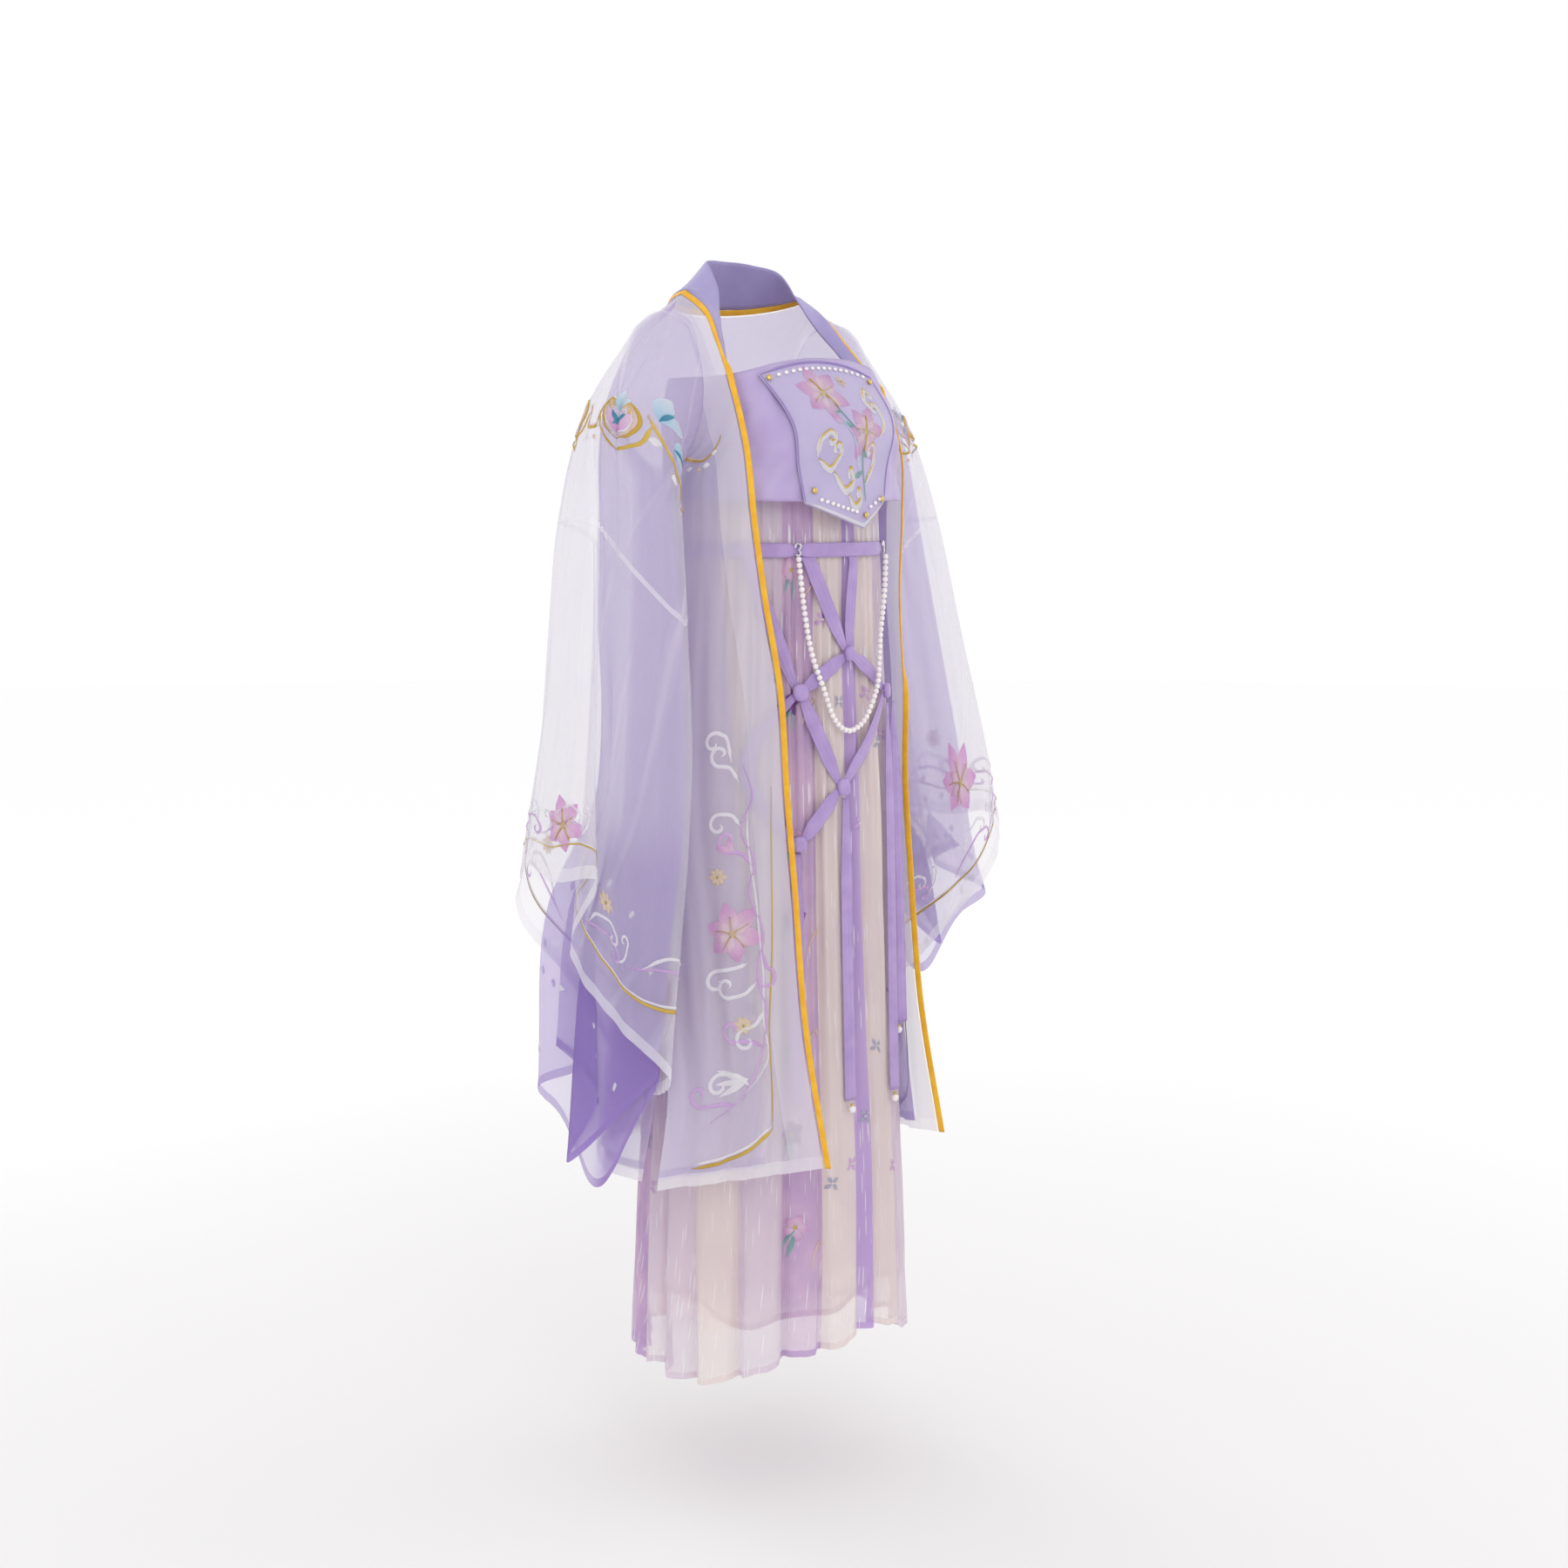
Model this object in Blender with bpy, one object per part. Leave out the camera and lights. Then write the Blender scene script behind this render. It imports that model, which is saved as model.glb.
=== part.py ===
# Worn hanfu set: sheer wide-sleeved robe with its lining, chest piece, pleated skirt, belt,
# ribbon net and pearl strand. Metres, +Z up. The wearer faces -Y, so the wearer's right is -X.
# Heights in the tables are above the floor the wearer stands on. The origin lies at the neck
# base, where the shoulders carry the robe.
import math

import bmesh
import bpy
import numpy as np
from mathutils import Vector

for item in list(bpy.data.objects):
    bpy.data.objects.remove(item, do_unlink=True)

# Driving sizes
ORIGIN_HEIGHT = 1.50        # neck base above the floor
CLOTH = 0.0012              # wall of every cloth piece
SEAM_GAP = 0.0006           # clear of each other at a seam
SHOULDER_GAP = 0.0011       # half the gap along the shoulder seam
LINING_INSET = 0.006        # robe lining inside the organza
LINING_SHORT = 0.012        # robe lining's hem above the organza's
LINING_TOP = 0.025          # share of the body's length where the lining starts
ARM_PLANE = 0.168           # armhole plane, from the middle
ARM_CENTRE = (0.008, 1.395) # armhole centre: y, height
ARM_RADII = (0.070, 0.098)  # armhole half depth and half height
NECK_HALF = 0.120           # half width of the neckline at the shoulder seam
NECK_POINT = 1.5156         # height of the shoulder seam at the neck
SHOULDER_POINT = 1.4930     # height of the shoulder seam at the armhole
EDGE_HEM = 0.4405           # hem of a front at its edge
SIDE_HEM = 0.4151           # hem of a front at its side
BACK_HEM = 0.4150
SHOULDER_FADE = 0.10        # share of the body's length over which the shoulder gap closes
PIPING_WIDTH = 0.008
PIPING_WALL = 0.0022
PIPING_GAP = 0.0012          # between the organza's edge and the gold binding
EDGE_HEADING = (0.33, -0.94, 0.0)  # way that the binding points on from a front, on the right half
BODY_LOW = 0.42             # height where the body's folds are deepest
ARM_START = (0.041, 0.067)  # half sizes of the oval that leads each sleeve fold to the armhole
RIBBON = 0.016              # width of the net's ribbons
BELT_WIDTH = 0.018
BELT_HEIGHT = 1.200
PEARL_STRAND_RADIUS = 0.0037
TAIL_PEARL_RADIUS = 0.0048
PLEATS = 36

# Front edge of the right front, shoulder to hem: height, x from the middle, y
FRONT_EDGE = (
    (1.5156, 0.120, 0.0175),
    (1.4985, 0.1225, -0.0130),
    (1.4574, 0.135, -0.0510),
    (1.4000, 0.152, -0.0885),
    (1.3300, 0.159, -0.1155),
    (1.2350, 0.153, -0.1240),
    (1.1467, 0.141, -0.1295),
    (1.0300, 0.129, -0.1445),
    (0.9000, 0.122, -0.1497),
    (0.7881, 0.120, -0.1600),
    (0.6109, 0.120, -0.1780),
    (0.4405, 0.120, -0.2134),
)

# Side seam below the armhole: height, x, y of the front edge, x, y of the back edge
SIDE_SEAM = (
    (1.297, 0.168, 0.008, 0.168, 0.008),
    (1.235, 0.172, 0.006, 0.172, 0.006),
    (1.050, 0.186, 0.002, 0.186, 0.002),
    (0.850, 0.204, -0.012, 0.204, -0.012),
    (0.700, 0.218, -0.030, 0.218, -0.030),
    (0.600, 0.229, -0.047, 0.229, -0.046),
    (0.540, 0.238, -0.060, 0.231, -0.038),
    (0.415, 0.260, -0.061, 0.239, -0.018),
)

# Middle of the back: height, y
BACK_LINE = (
    (1.497, 0.088),
    (1.420, 0.107),
    (1.300, 0.116),
    (1.100, 0.119),
    (0.850, 0.130),
    (0.600, 0.150),
    (0.415, 0.168),
)

# How far each front panel bows out between its side and its edge: height, right bow, left bow
FRONT_BOW = (
    (1.50, 0.0, 0.0),
    (1.42, 0.003, 0.003),
    (1.30, 0.004, 0.004),
    (1.18, 0.008, 0.008),
    (1.05, 0.018, 0.014),
    (0.80, 0.016, 0.006),
    (0.60, 0.010, -0.016),
    (0.42, 0.004, -0.030),
)

# Soft vertical folds: across (0 side, 1 edge), width, depth at the hem, height where it starts
FRONT_FOLDS = (
    (0.14, 0.060, 0.012, 1.36),
    (0.42, 0.050, 0.007, 1.10),
    (0.70, 0.045, 0.006, 0.95),
)
BACK_FOLDS = (
    (-0.60, 0.09, 0.012, 1.30),
    (-0.20, 0.08, 0.010, 1.10),
    (0.20, 0.09, 0.012, 1.20),
    (0.60, 0.08, 0.010, 1.30),
)
# Places down the body (0 shoulder, 1 hem) and across it where the cloth is shaped
BODY_ROWS = (0.0, 0.03, 0.07, 0.12, 0.18, 0.26, 0.36, 0.48, 0.61, 0.74, 0.87, 1.0)
FRONT_COLUMNS = (0.0, 0.06, 0.14, 0.22, 0.32, 0.42, 0.52, 0.61, 0.70, 0.79, 0.90, 0.995)
FRONT_LINING_COLUMNS = (0.06, 0.14, 0.28, 0.42, 0.56, 0.72)
BACK_LINING_COLUMNS = (0.90, 0.80, 0.60, 0.40, 0.20, 0.0, -0.20, -0.40, -0.60, -0.80, -0.90)

# Outer sleeve: a row for each fold line that runs from the armhole to the cuff, going round
# from the back by the outside to the front. Offsets from the sleeve's axis at the upper arm,
# the join seam, the forearm and the cuff, with the height of the fold at each.
SLEEVE_FOLDS = (
    # name upper, seam, forearm, cuff; x, y, height at each
    ("back", -0.005, 0.066, 1.355, 0.0, 0.092, 1.232, 0.0, 0.102, 0.978, 0.005, 0.107, 0.797),
    ("outer", -0.035, 0.036, 1.37, -0.04, 0.045, 1.233, -0.04, 0.032, 0.978, -0.032, 0.012, 0.796),
    ("crest", -0.043, 0.008, 1.375, -0.053, -0.015, 1.234, -0.052, -0.04, 0.974, -0.034, -0.057, 0.806),
    ("return", -0.036, -0.008, 1.375, -0.037, -0.008, 1.226, -0.03, -0.006, 0.95, -0.014, 0.008, 0.706),
    ("face", -0.028, -0.034, 1.365, -0.033, -0.06, 1.175, -0.024, -0.062, 0.88, -0.009, -0.071, 0.62),
    ("front", 0.005, -0.07, 1.34, 0.011, -0.101, 1.114, 0.031, -0.116, 0.9, 0.027, -0.12, 0.549),
    ("inner_front", 0.03, -0.058, 1.29, 0.039, -0.076, 1.12, 0.047, -0.092, 0.86, 0.03, -0.096, 0.535),
    ("inner", 0.034, -0.01, 1.25, 0.043, -0.01, 1.14, 0.045, -0.015, 0.86, 0.029, -0.036, 0.57),
    ("inner_back", 0.029, 0.036, 1.29, 0.037, 0.045, 1.18, 0.036, 0.05, 0.88, 0.029, 0.05, 0.66),
    ("back_flick", 0.014, 0.06, 1.33, 0.02, 0.078, 1.222, 0.017, 0.098, 0.93, 0.008, 0.122, 0.752),
)
SLEEVE_STATIONS = (0.0, 0.20, 0.42, 0.70, 1.0)
SEAM_STATION = 0.42

# Sleeve lining, same columns, with one more station where it leaves the organza cuff
LINING_FOLDS = (
    # name upper, middle, forearm, below cuff, hem; x, y, height at each
    ("back", -0.007, 0.034, 1.355, 0.0, 0.032, 1.15, 0.014, 0.026, 0.89,
        0.0, 0.079, 0.755, 0.013, 0.092, 0.516),
    ("near_crest", -0.022, 0.02, 1.36, -0.014, 0.012, 1.15, 0.003, 0.008, 0.88,
        0.0055, 0.018, 0.755, 0.013, 0.018, 0.56),
    ("notch", -0.027, 0.004, 1.36, -0.019, 0.0, 1.15, -0.002, -0.003, 0.88,
        0.0005, 0.043, 0.755, 0.007, 0.052, 0.58),
    ("hidden", -0.027, -0.012, 1.36, -0.022, -0.016, 1.14, -0.007, -0.018, 0.87,
        -0.0045, -0.01, 0.755, -0.001, -0.024, 0.535),
    ("lobe", -0.02, -0.03, 1.35, -0.019, -0.038, 1.13, -0.005, -0.036, 0.86,
        -0.01, 0.002, 0.74, -0.009, 0.022, 0.44),
    ("front", 0.006, -0.06, 1.33, 0.013, -0.092, 1.11, 0.031, -0.106, 0.86,
        0.02, -0.108, 0.72, 0.024, -0.104, 0.553),
    ("inner_front", 0.022, -0.046, 1.29, 0.031, -0.07, 1.11, 0.04, -0.083, 0.85,
        0.025, -0.086, 0.71, 0.023, -0.074, 0.508),
    ("inner", 0.027, -0.012, 1.262, 0.036, -0.012, 1.13, 0.036, -0.022, 0.85,
        0.012, -0.03, 0.69, 0.022, 0.004, 0.404),
    ("inner_back", 0.014, 0.026, 1.3, 0.025, 0.024, 1.14, 0.029, 0.018, 0.87,
        0.012, 0.052, 0.72, 0.018, 0.062, 0.492),
)
LINING_STATIONS = (0.0, 0.18, 0.40, 0.66, 0.80, 1.0)
LEFT_FULL = ("back", "near_crest", "inner_back")  # left lining folds that reach out as the organza does
LEFT_FILL = (0.86, 0.88, 0.80)  # share of the organza's reach they take, down to the forearm

# Where each sleeve hangs: side, turn of its folds, axis x and y at the upper arm, the seam,
# the forearm and the cuff, lift of the cuff and of the lining hem, reach of the back flick
SLEEVE_PLACES = {
    "right": (-1, 0.0, ((-0.215, 0.020), (-0.235, 0.020), (-0.262, 0.025), (-0.288, 0.035)), 0.0, 0.0, 1.0),
    "left": (1, -163.0, ((0.216, -0.004), (0.243, -0.007), (0.277, -0.041), (0.3015, -0.056)),
             0.030, 0.208, 0.88),
}

# Body column under the robe: height, half width, half depth, centre y
SKIRT_SECTIONS = (
    (0.16, 0.186, 0.172, -0.027),
    (0.42, 0.175, 0.160, -0.029),
    (0.65, 0.165, 0.145, -0.034),
    (0.90, 0.155, 0.130, -0.040),
    (1.10, 0.146, 0.117, -0.043),
    (1.20, 0.1410, 0.1125, -0.0445),
    (1.285, 0.137, 0.108, -0.045),
)
SKIRT_POWER = 2.2
SKIRT_TURN = -4.0           # degrees that the panel seams sit round to the wearer's right
SKIRT_TOP = 1.275
# Skirt hem: angle from the front middle, height
SKIRT_HEM = (
    (-184.0, 0.168),
    (-130.0, 0.160),
    (-110.0, 0.153),
    (-85.0, 0.147),
    (-63.0, 0.158),
    (-46.0, 0.176),
    (-30.0, 0.188),
    (-15.0, 0.192),
    (0.0, 0.199),
    (15.0, 0.196),
    (32.0, 0.174),
    (60.0, 0.168),
    (176.0, 0.168),
)
PLEAT_DEPTH = ((1.275, 0.003), (1.20, 0.003), (1.10, 0.006), (0.80, 0.009), (0.13, 0.013))
SKIRT_LINING_HEM = 0.235
SKIRT_LINING_INSET = 0.019

# Skirt panels, going round from the middle back by the wearer's right side: name, colour, pleats
SKIRT_PANELS = (
    ("cream_back", "cream", 4),
    ("purple_right", "purple", 3),
    ("lilac_right", "lilac", 3),
    ("cream_right", "cream", 2),
    ("lilac_front", "lilac", 2),
    ("printed_front", "purple", 2),
    ("cream_front", "cream", 2),
    ("lavender_front", "lavender", 1),
    ("cream_middle", "cream", 2),
    ("lilac_left", "lilac", 7),
    ("cream_left", "cream", 8),
)

# Chest piece: height, half width, half depth, centre y
CHEST_SECTIONS = (
    (1.200, 0.160, 0.138, -0.045),
    (1.260, 0.155, 0.131, -0.045),
    (1.300, 0.152, 0.126, -0.045),
    (1.350, 0.151, 0.127, -0.045),
    (1.400, 0.147, 0.111, -0.036),
    (1.440, 0.142, 0.092, -0.030),
)
CHEST_POWER = 2.6
CHEST_TOP_FRONT = 1.437
CHEST_TOP_SIDE = 1.412
CHEST_BOTTOM = 1.260
# Chest panel, top to bottom: height at the middle, height at the side, half width, middle x
CHEST_PANEL = (
    (1.4330, 1.4145, 0.094, -0.029),
    (1.3800, 1.3700, 0.0955, -0.0155),
    (1.3200, 1.3150, 0.083, -0.0205),
    (1.2260, 1.2570, 0.069, -0.029),
)
CHEST_TIP = 1 / 3           # place across the panel's lower edge where its point hangs
CHEST_STAND = 0.0044        # the panel's face off the wrap's face
STUD_RADIUS = 0.0038
STUD_SQUASH = 0.6
# Studs on the panel: across, down
STUDS = ((-0.93, 0.06), (0.84, 0.09), (-0.80, 0.89), (0.36, 0.95), (0.86, 0.94))

# Net knots: name, angle from the front middle, height, half width, half height
KNOTS = (
    ("k1", -3.5, 1.0700, 0.0085, 0.0095),
    ("k2", -33.0, 1.0250, 0.0105, 0.0110),
    ("k3", 28.0, 1.0180, 0.0090, 0.0100),
    ("k4", -10.0, 0.9040, 0.0095, 0.0110),
    ("k5", -34.5, 0.8370, 0.0095, 0.0100),
)
# Net links: name, start angle and height, end angle and height, sideways bow in degrees
LINKS = (
    ("belt_k1_right", -28.5, 1.1870, -7.5, 1.0820, 0.0),
    ("belt_k1_left", 1.5, 1.1870, -2.0, 1.0830, 0.0),
    ("belt_k2", -64.0, 1.1870, -38.5, 1.0370, 0.0),
    ("k1_k3", 1.8, 1.0640, 23.0, 1.0280, 0.0),
    ("k1_k2", -8.2, 1.0640, -27.5, 1.0330, 0.0),
    ("k2_k4", -29.5, 1.0120, -14.0, 0.9160, 0.0),
    ("k3_k4", 22.0, 1.0080, -5.5, 0.9150, 0.0),
    ("k4_k5", -15.0, 0.8950, -29.0, 0.8470, 0.0),
    ("k2_k5_side", -39.5, 1.0150, -40.0, 0.8470, -26.0),
)
# Net tails: name, angle at the top and at the end, height of the top, height of the end
TAILS = (
    ("tail_k4", -8.0, -9.0, 0.8900, 0.5060),
    ("tail_k3", 35.0, 29.0, 1.0030, 0.5860),
    ("tail_k3_back", 28.5, 19.5, 1.0020, 0.5020),
    ("tail_k5", -35.5, -36.0, 0.8250, 0.5100),
)
PEARL_TAILS = ("tail_k4", "tail_k3", "tail_k3_back")

# Route of the pearl strand from hook to hook: angle, height, stand-off from the pleats
STRAND_ROUTE = (
    (-34.0, 1.1890, 0.0085),
    (-31.0, 1.1300, 0.0085),
    (-27.0, 1.0750, 0.0085),
    (-21.0, 1.0300, 0.0100),
    (-14.5, 0.9900, 0.0075),
    (-6.0, 0.9740, 0.0070),
    (2.0, 0.9840, 0.0085),
    (8.5, 1.0110, 0.0110),
    (13.5, 1.0350, 0.0110),
    (20.0, 1.0920, 0.0085),
    (29.0, 1.1500, 0.0085),
    (33.5, 1.1890, 0.0085),
)
HOOK_ANGLES = {"right": -34.0, "left": 33.5}
HOOK_WIRE = 0.0015
HOOK_STAND = 0.0062         # the hooks' wire off the pleats' envelope
NET_STAND = 0.0030          # outer face of the belt and the net's ribbons off that envelope
KNOT_STAND = 0.0070

# Collar band's upper edge, from the middle back to where it dies out: x, y, height
COLLAR_TOP = (
    (0.000, 0.052, 1.565),
    (0.045, 0.038, 1.562),
    (0.068, 0.012, 1.550),
    (0.075, -0.006, 1.522),
    (0.092, -0.022, 1.487),
    (0.112, -0.046, 1.450),
    (0.1235, -0.062, 1.425),
)
COLLAR_END = 1.420          # height of the front edge where the band dies out

COLOURS = {
    # name: red, green, blue, roughness, metallic
    "organza": (0.80, 0.78, 0.84, 0.55, 0.0),
    "lining": (0.42, 0.33, 0.62, 0.60, 0.0),
    "satin": (0.45, 0.33, 0.66, 0.35, 0.0),
    "panel": (0.48, 0.44, 0.72, 0.40, 0.0),
    "collar": (0.42, 0.36, 0.66, 0.55, 0.0),
    "gold": (0.75, 0.42, 0.03, 0.40, 0.2),
    "stud": (0.62, 0.45, 0.12, 0.30, 1.0),
    "silver": (0.70, 0.70, 0.72, 0.25, 1.0),
    "cream": (0.74, 0.64, 0.58, 0.60, 0.0),
    "lilac": (0.62, 0.52, 0.68, 0.60, 0.0),
    "lavender": (0.40, 0.27, 0.62, 0.55, 0.0),
    "purple": (0.48, 0.32, 0.58, 0.60, 0.0),
    "ribbon": (0.40, 0.27, 0.62, 0.50, 0.0),
    "pearl": (0.86, 0.83, 0.80, 0.25, 0.0),
}


def material(name):
    """The Principled material of that name, made once."""
    found = bpy.data.materials.get(name)
    if found:
        return found
    made = bpy.data.materials.new(name)
    made.use_nodes = True
    shader = made.node_tree.nodes["Principled BSDF"]
    red, green, blue, roughness, metallic = COLOURS[name]
    shader.inputs["Base Color"].default_value = (red, green, blue, 1.0)
    shader.inputs["Roughness"].default_value = roughness
    shader.inputs["Metallic"].default_value = metallic
    return made


def world(x, y, height):
    """A point from its height above the floor."""
    return np.array([x, y, height - ORIGIN_HEIGHT])


def hermite(keys, values, at):
    """Smooth curve through values (one row per key), read at one place."""
    keys = np.asarray(keys, float)
    values = np.asarray(values, float)
    if keys[0] > keys[-1]:
        keys, values = keys[::-1], values[::-1]
    at = min(max(at, keys[0]), keys[-1])
    slopes = np.gradient(values, keys, axis=0)
    i = min(max(int(np.searchsorted(keys, at)) - 1, 0), len(keys) - 2)
    span = keys[i + 1] - keys[i]
    t = (at - keys[i]) / span
    return (
        (2 * t**3 - 3 * t**2 + 1) * values[i]
        + (t**3 - 2 * t**2 + t) * span * slopes[i]
        + (3 * t**2 - 2 * t**3) * values[i + 1]
        + (t**3 - t**2) * span * slopes[i + 1]
    )


def table_at(table, height):
    """Every later column of a table at a height in its first column."""
    rows = np.asarray(table, float)
    return hermite(rows[:, 0], rows[:, 1:], height)


def ring_through(points, per_span):
    """Closed smooth curve through points, with per_span places on each span."""
    points = np.asarray(points, float)
    ahead = np.roll(points, -1, axis=0) - points
    reach = np.maximum(np.linalg.norm(ahead, axis=1), 1e-6)
    before, back_reach = np.roll(ahead, 1, axis=0), np.roll(reach, 1)
    weight = (reach + back_reach)[:, None]
    slopes = (ahead * (back_reach / reach)[:, None] + before * (reach / back_reach)[:, None]) / weight
    curve = []
    for i, start in enumerate(points):
        end = points[(i + 1) % len(points)]
        turn_in, turn_out = slopes[i] * reach[i], slopes[(i + 1) % len(points)] * reach[i]
        for step in range(per_span):
            t = step / per_span
            curve.append(
                (2 * t**3 - 3 * t**2 + 1) * start
                + (t**3 - 2 * t**2 + t) * turn_in
                + (3 * t**2 - 2 * t**3) * end
                + (t**3 - t**2) * turn_out
            )
    return np.array(curve)


def grid_normals(grid, closed):
    """Unit normals of a grid of points, rows by columns."""
    down = np.gradient(grid, axis=0)
    if closed:
        across = (np.roll(grid, -1, axis=1) - np.roll(grid, 1, axis=1)) / 2
    else:
        across = np.gradient(grid, axis=1)
    normals = np.cross(down, across)
    return normals / np.maximum(np.linalg.norm(normals, axis=2, keepdims=True), 1e-12)


def moved_out(grid, distance, closed=False):
    """A grid moved along its own normals."""
    return grid + grid_normals(grid, closed) * distance


def make_object(name, mesh, colour, smooth=True):
    """Links a mesh to the scene as a named piece."""
    mesh.materials.append(material(colour))
    if smooth:
        mesh.shade_smooth()
        mesh.set_sharp_from_angle(angle=math.radians(50))
    piece = bpy.data.objects.new(name, mesh)
    bpy.context.scene.collection.objects.link(piece)
    return piece


def cloth(name, outer, colour, closed=False, wall=CLOTH):
    """A cloth wall whose outer face is the grid, with its inner face moved in by the wall."""
    outer = np.asarray(outer, float)
    inner = moved_out(outer, -wall, closed)
    rows, columns = outer.shape[:2]
    points = np.concatenate([outer.reshape(-1, 3), inner.reshape(-1, 3)])
    half = rows * columns
    faces = []

    def at(row, column, side):
        return side * half + row * columns + column % columns

    spans = columns if closed else columns - 1
    for row in range(rows - 1):
        for column in range(spans):
            a, b = at(row, column, 0), at(row, column + 1, 0)
            c, d = at(row + 1, column + 1, 0), at(row + 1, column, 0)
            faces.append((a, d, c, b))
            faces.append((a + half, b + half, c + half, d + half))
    for column in range(spans):
        a, b = at(0, column, 0), at(0, column + 1, 0)
        faces.append((a, b, b + half, a + half))
        c, d = at(rows - 1, column, 0), at(rows - 1, column + 1, 0)
        faces.append((c, c + half, d + half, d))
    if not closed:
        for row in range(rows - 1):
            a, b = at(row, 0, 0), at(row + 1, 0, 0)
            faces.append((a, a + half, b + half, b))
            c, d = at(row, columns - 1, 0), at(row + 1, columns - 1, 0)
            faces.append((c, d, d + half, c + half))
    mesh = bpy.data.meshes.new(name)
    mesh.from_pydata([tuple(p) for p in points], [], faces)
    work = bmesh.new()
    work.from_mesh(mesh)
    bmesh.ops.recalc_face_normals(work, faces=work.faces)
    work.to_mesh(mesh)
    work.free()
    return make_object(name, mesh, colour)


def swap_side(grid, side):
    """Keeps a right-hand grid for side -1, and mirrors it for side 1."""
    if side < 0:
        return grid
    return (grid * np.array([-1.0, 1.0, 1.0]))[:, ::-1]


# Robe body

def armhole_y(height, side_of_ring):
    """y of the armhole at a height, on its front (-1) or back (1) half."""
    middle, half_height = ARM_CENTRE[1], ARM_RADII[1]
    reach = max(0.0, 1 - ((height - middle) / half_height) ** 2)
    return ARM_CENTRE[0] + side_of_ring * ARM_RADII[0] * math.sqrt(reach)


def side_point(height, side_of_ring):
    """Side edge of the front (-1) or back (1) panel: x from the middle, and y."""
    if height >= SIDE_SEAM[0][0]:
        return ARM_PLANE, armhole_y(height, side_of_ring)
    x_front, y_front, x_back, y_back = table_at(SIDE_SEAM, height)
    if side_of_ring < 0:
        return x_front, y_front - SEAM_GAP
    return x_back, y_back + SEAM_GAP


def fold_depth(folds, across, height):
    """Sum of the soft folds at one place across a panel."""
    total = 0.0
    for place, width, depth, top in folds:
        grown = min(max((top - height) / (top - BODY_LOW), 0.0), 1.0)
        total += depth * grown * math.exp(-(((across - place) / width) ** 2))
    return total


def front_grid(side_sign, columns, rows, inset=0.0, short=0.0):
    """One front, laid out as the right one: side edge to front edge, shoulder to hem."""
    grid = []
    for down in rows:
        edge_height = NECK_POINT + (EDGE_HEM + short - NECK_POINT) * down
        side_height = SHOULDER_POINT + (SIDE_HEM + short - SHOULDER_POINT) * down
        edge_x, edge_y = table_at(FRONT_EDGE, edge_height)
        side_x, side_y = side_point(side_height, -1)
        side = np.array([-side_x, side_y, side_height])
        edge = np.array([-edge_x, edge_y, edge_height])
        middle = (side + edge) / 2
        outward = np.array([middle[0], middle[1] + 0.03, 0.0])
        outward /= np.linalg.norm(outward)
        bow = table_at(FRONT_BOW, edge_height)[0 if side_sign < 0 else 1]
        control = middle + outward * 2 * bow
        line = []
        for across in columns:
            point = (1 - across) ** 2 * side + 2 * across * (1 - across) * control + across**2 * edge
            ease = math.sin(math.pi * min(max(across, 0.0), 1.0)) ** 0.5
            point = point - outward * ease * fold_depth(FRONT_FOLDS, across, point[2])
            point[1] -= SHOULDER_GAP * max(0.0, 1 - down / SHOULDER_FADE)
            line.append(point - np.array([0.0, 0.0, ORIGIN_HEIGHT]))
        grid.append(line)
    grid = np.array(grid)
    return moved_out(grid, -inset) if inset else grid


def neckline(turn):
    """Neck edge of the back, from the right shoulder seam (-90) to the left (90)."""
    a = math.radians(turn)
    seam_y = FRONT_EDGE[0][2]
    depth, drop = BACK_LINE[0][1] - seam_y, NECK_POINT - BACK_LINE[0][0]
    return np.array([NECK_HALF * math.sin(a), seam_y + depth * math.cos(a), NECK_POINT - drop * math.cos(a)])


def back_top(across):
    """Top edge of the back: shoulder seam, neckline, shoulder seam."""
    seam = 0.20
    if abs(across) <= 1 - seam:
        return neckline(90 * across / (1 - seam))
    t = (abs(across) - (1 - seam)) / seam
    start, end = neckline(90.0), np.array([ARM_PLANE, ARM_CENTRE[0], SHOULDER_POINT])
    point = start + (end - start) * t
    point[0] *= math.copysign(1.0, across)
    return point


def back_section(across, height):
    """Horizontal section of the back at a height."""
    side_x, side_y = side_point(height, 1)
    back_y = float(table_at(BACK_LINE, height)[0])
    turn = math.radians(90 * across)
    x = side_x * math.copysign(abs(math.sin(turn)) ** 0.85, across)
    y = side_y + (back_y - side_y) * max(math.cos(turn), 0.0) ** 0.85
    ease = max(math.cos(turn), 0.0) ** 0.5
    y -= ease * fold_depth(BACK_FOLDS, across, height)
    return np.array([x, y, height])


def back_grid(columns, rows, inset=0.0, short=0.0):
    """Back panel, from the wearer's left side seam to the right one."""
    grid = []
    for down in rows:
        line = []
        for across in columns:
            top = back_top(across)
            height = top[2] + (BACK_HEM + short - top[2]) * down
            fade = max(0.0, 1 - (top[2] - height) / 0.13) ** 2
            point = back_section(across, height) + (top - back_section(across, top[2])) * fade
            gap = SHOULDER_GAP * max(0.0, 1 - down / SHOULDER_FADE)
            line.append([point[0], point[1] + gap, height - ORIGIN_HEIGHT])
        grid.append(line)
    grid = np.array(grid)
    return moved_out(grid, -inset) if inset else grid


def robe_body():
    """Organza back and fronts."""
    for side, name in ((-1, "robe_front_right"), (1, "robe_front_left")):
        cloth(name, swap_side(front_grid(side, FRONT_COLUMNS, BODY_ROWS), side), "organza")
    cloth("robe_back", back_grid(np.linspace(1.0, -1.0, 21), BODY_ROWS), "organza")


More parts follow.
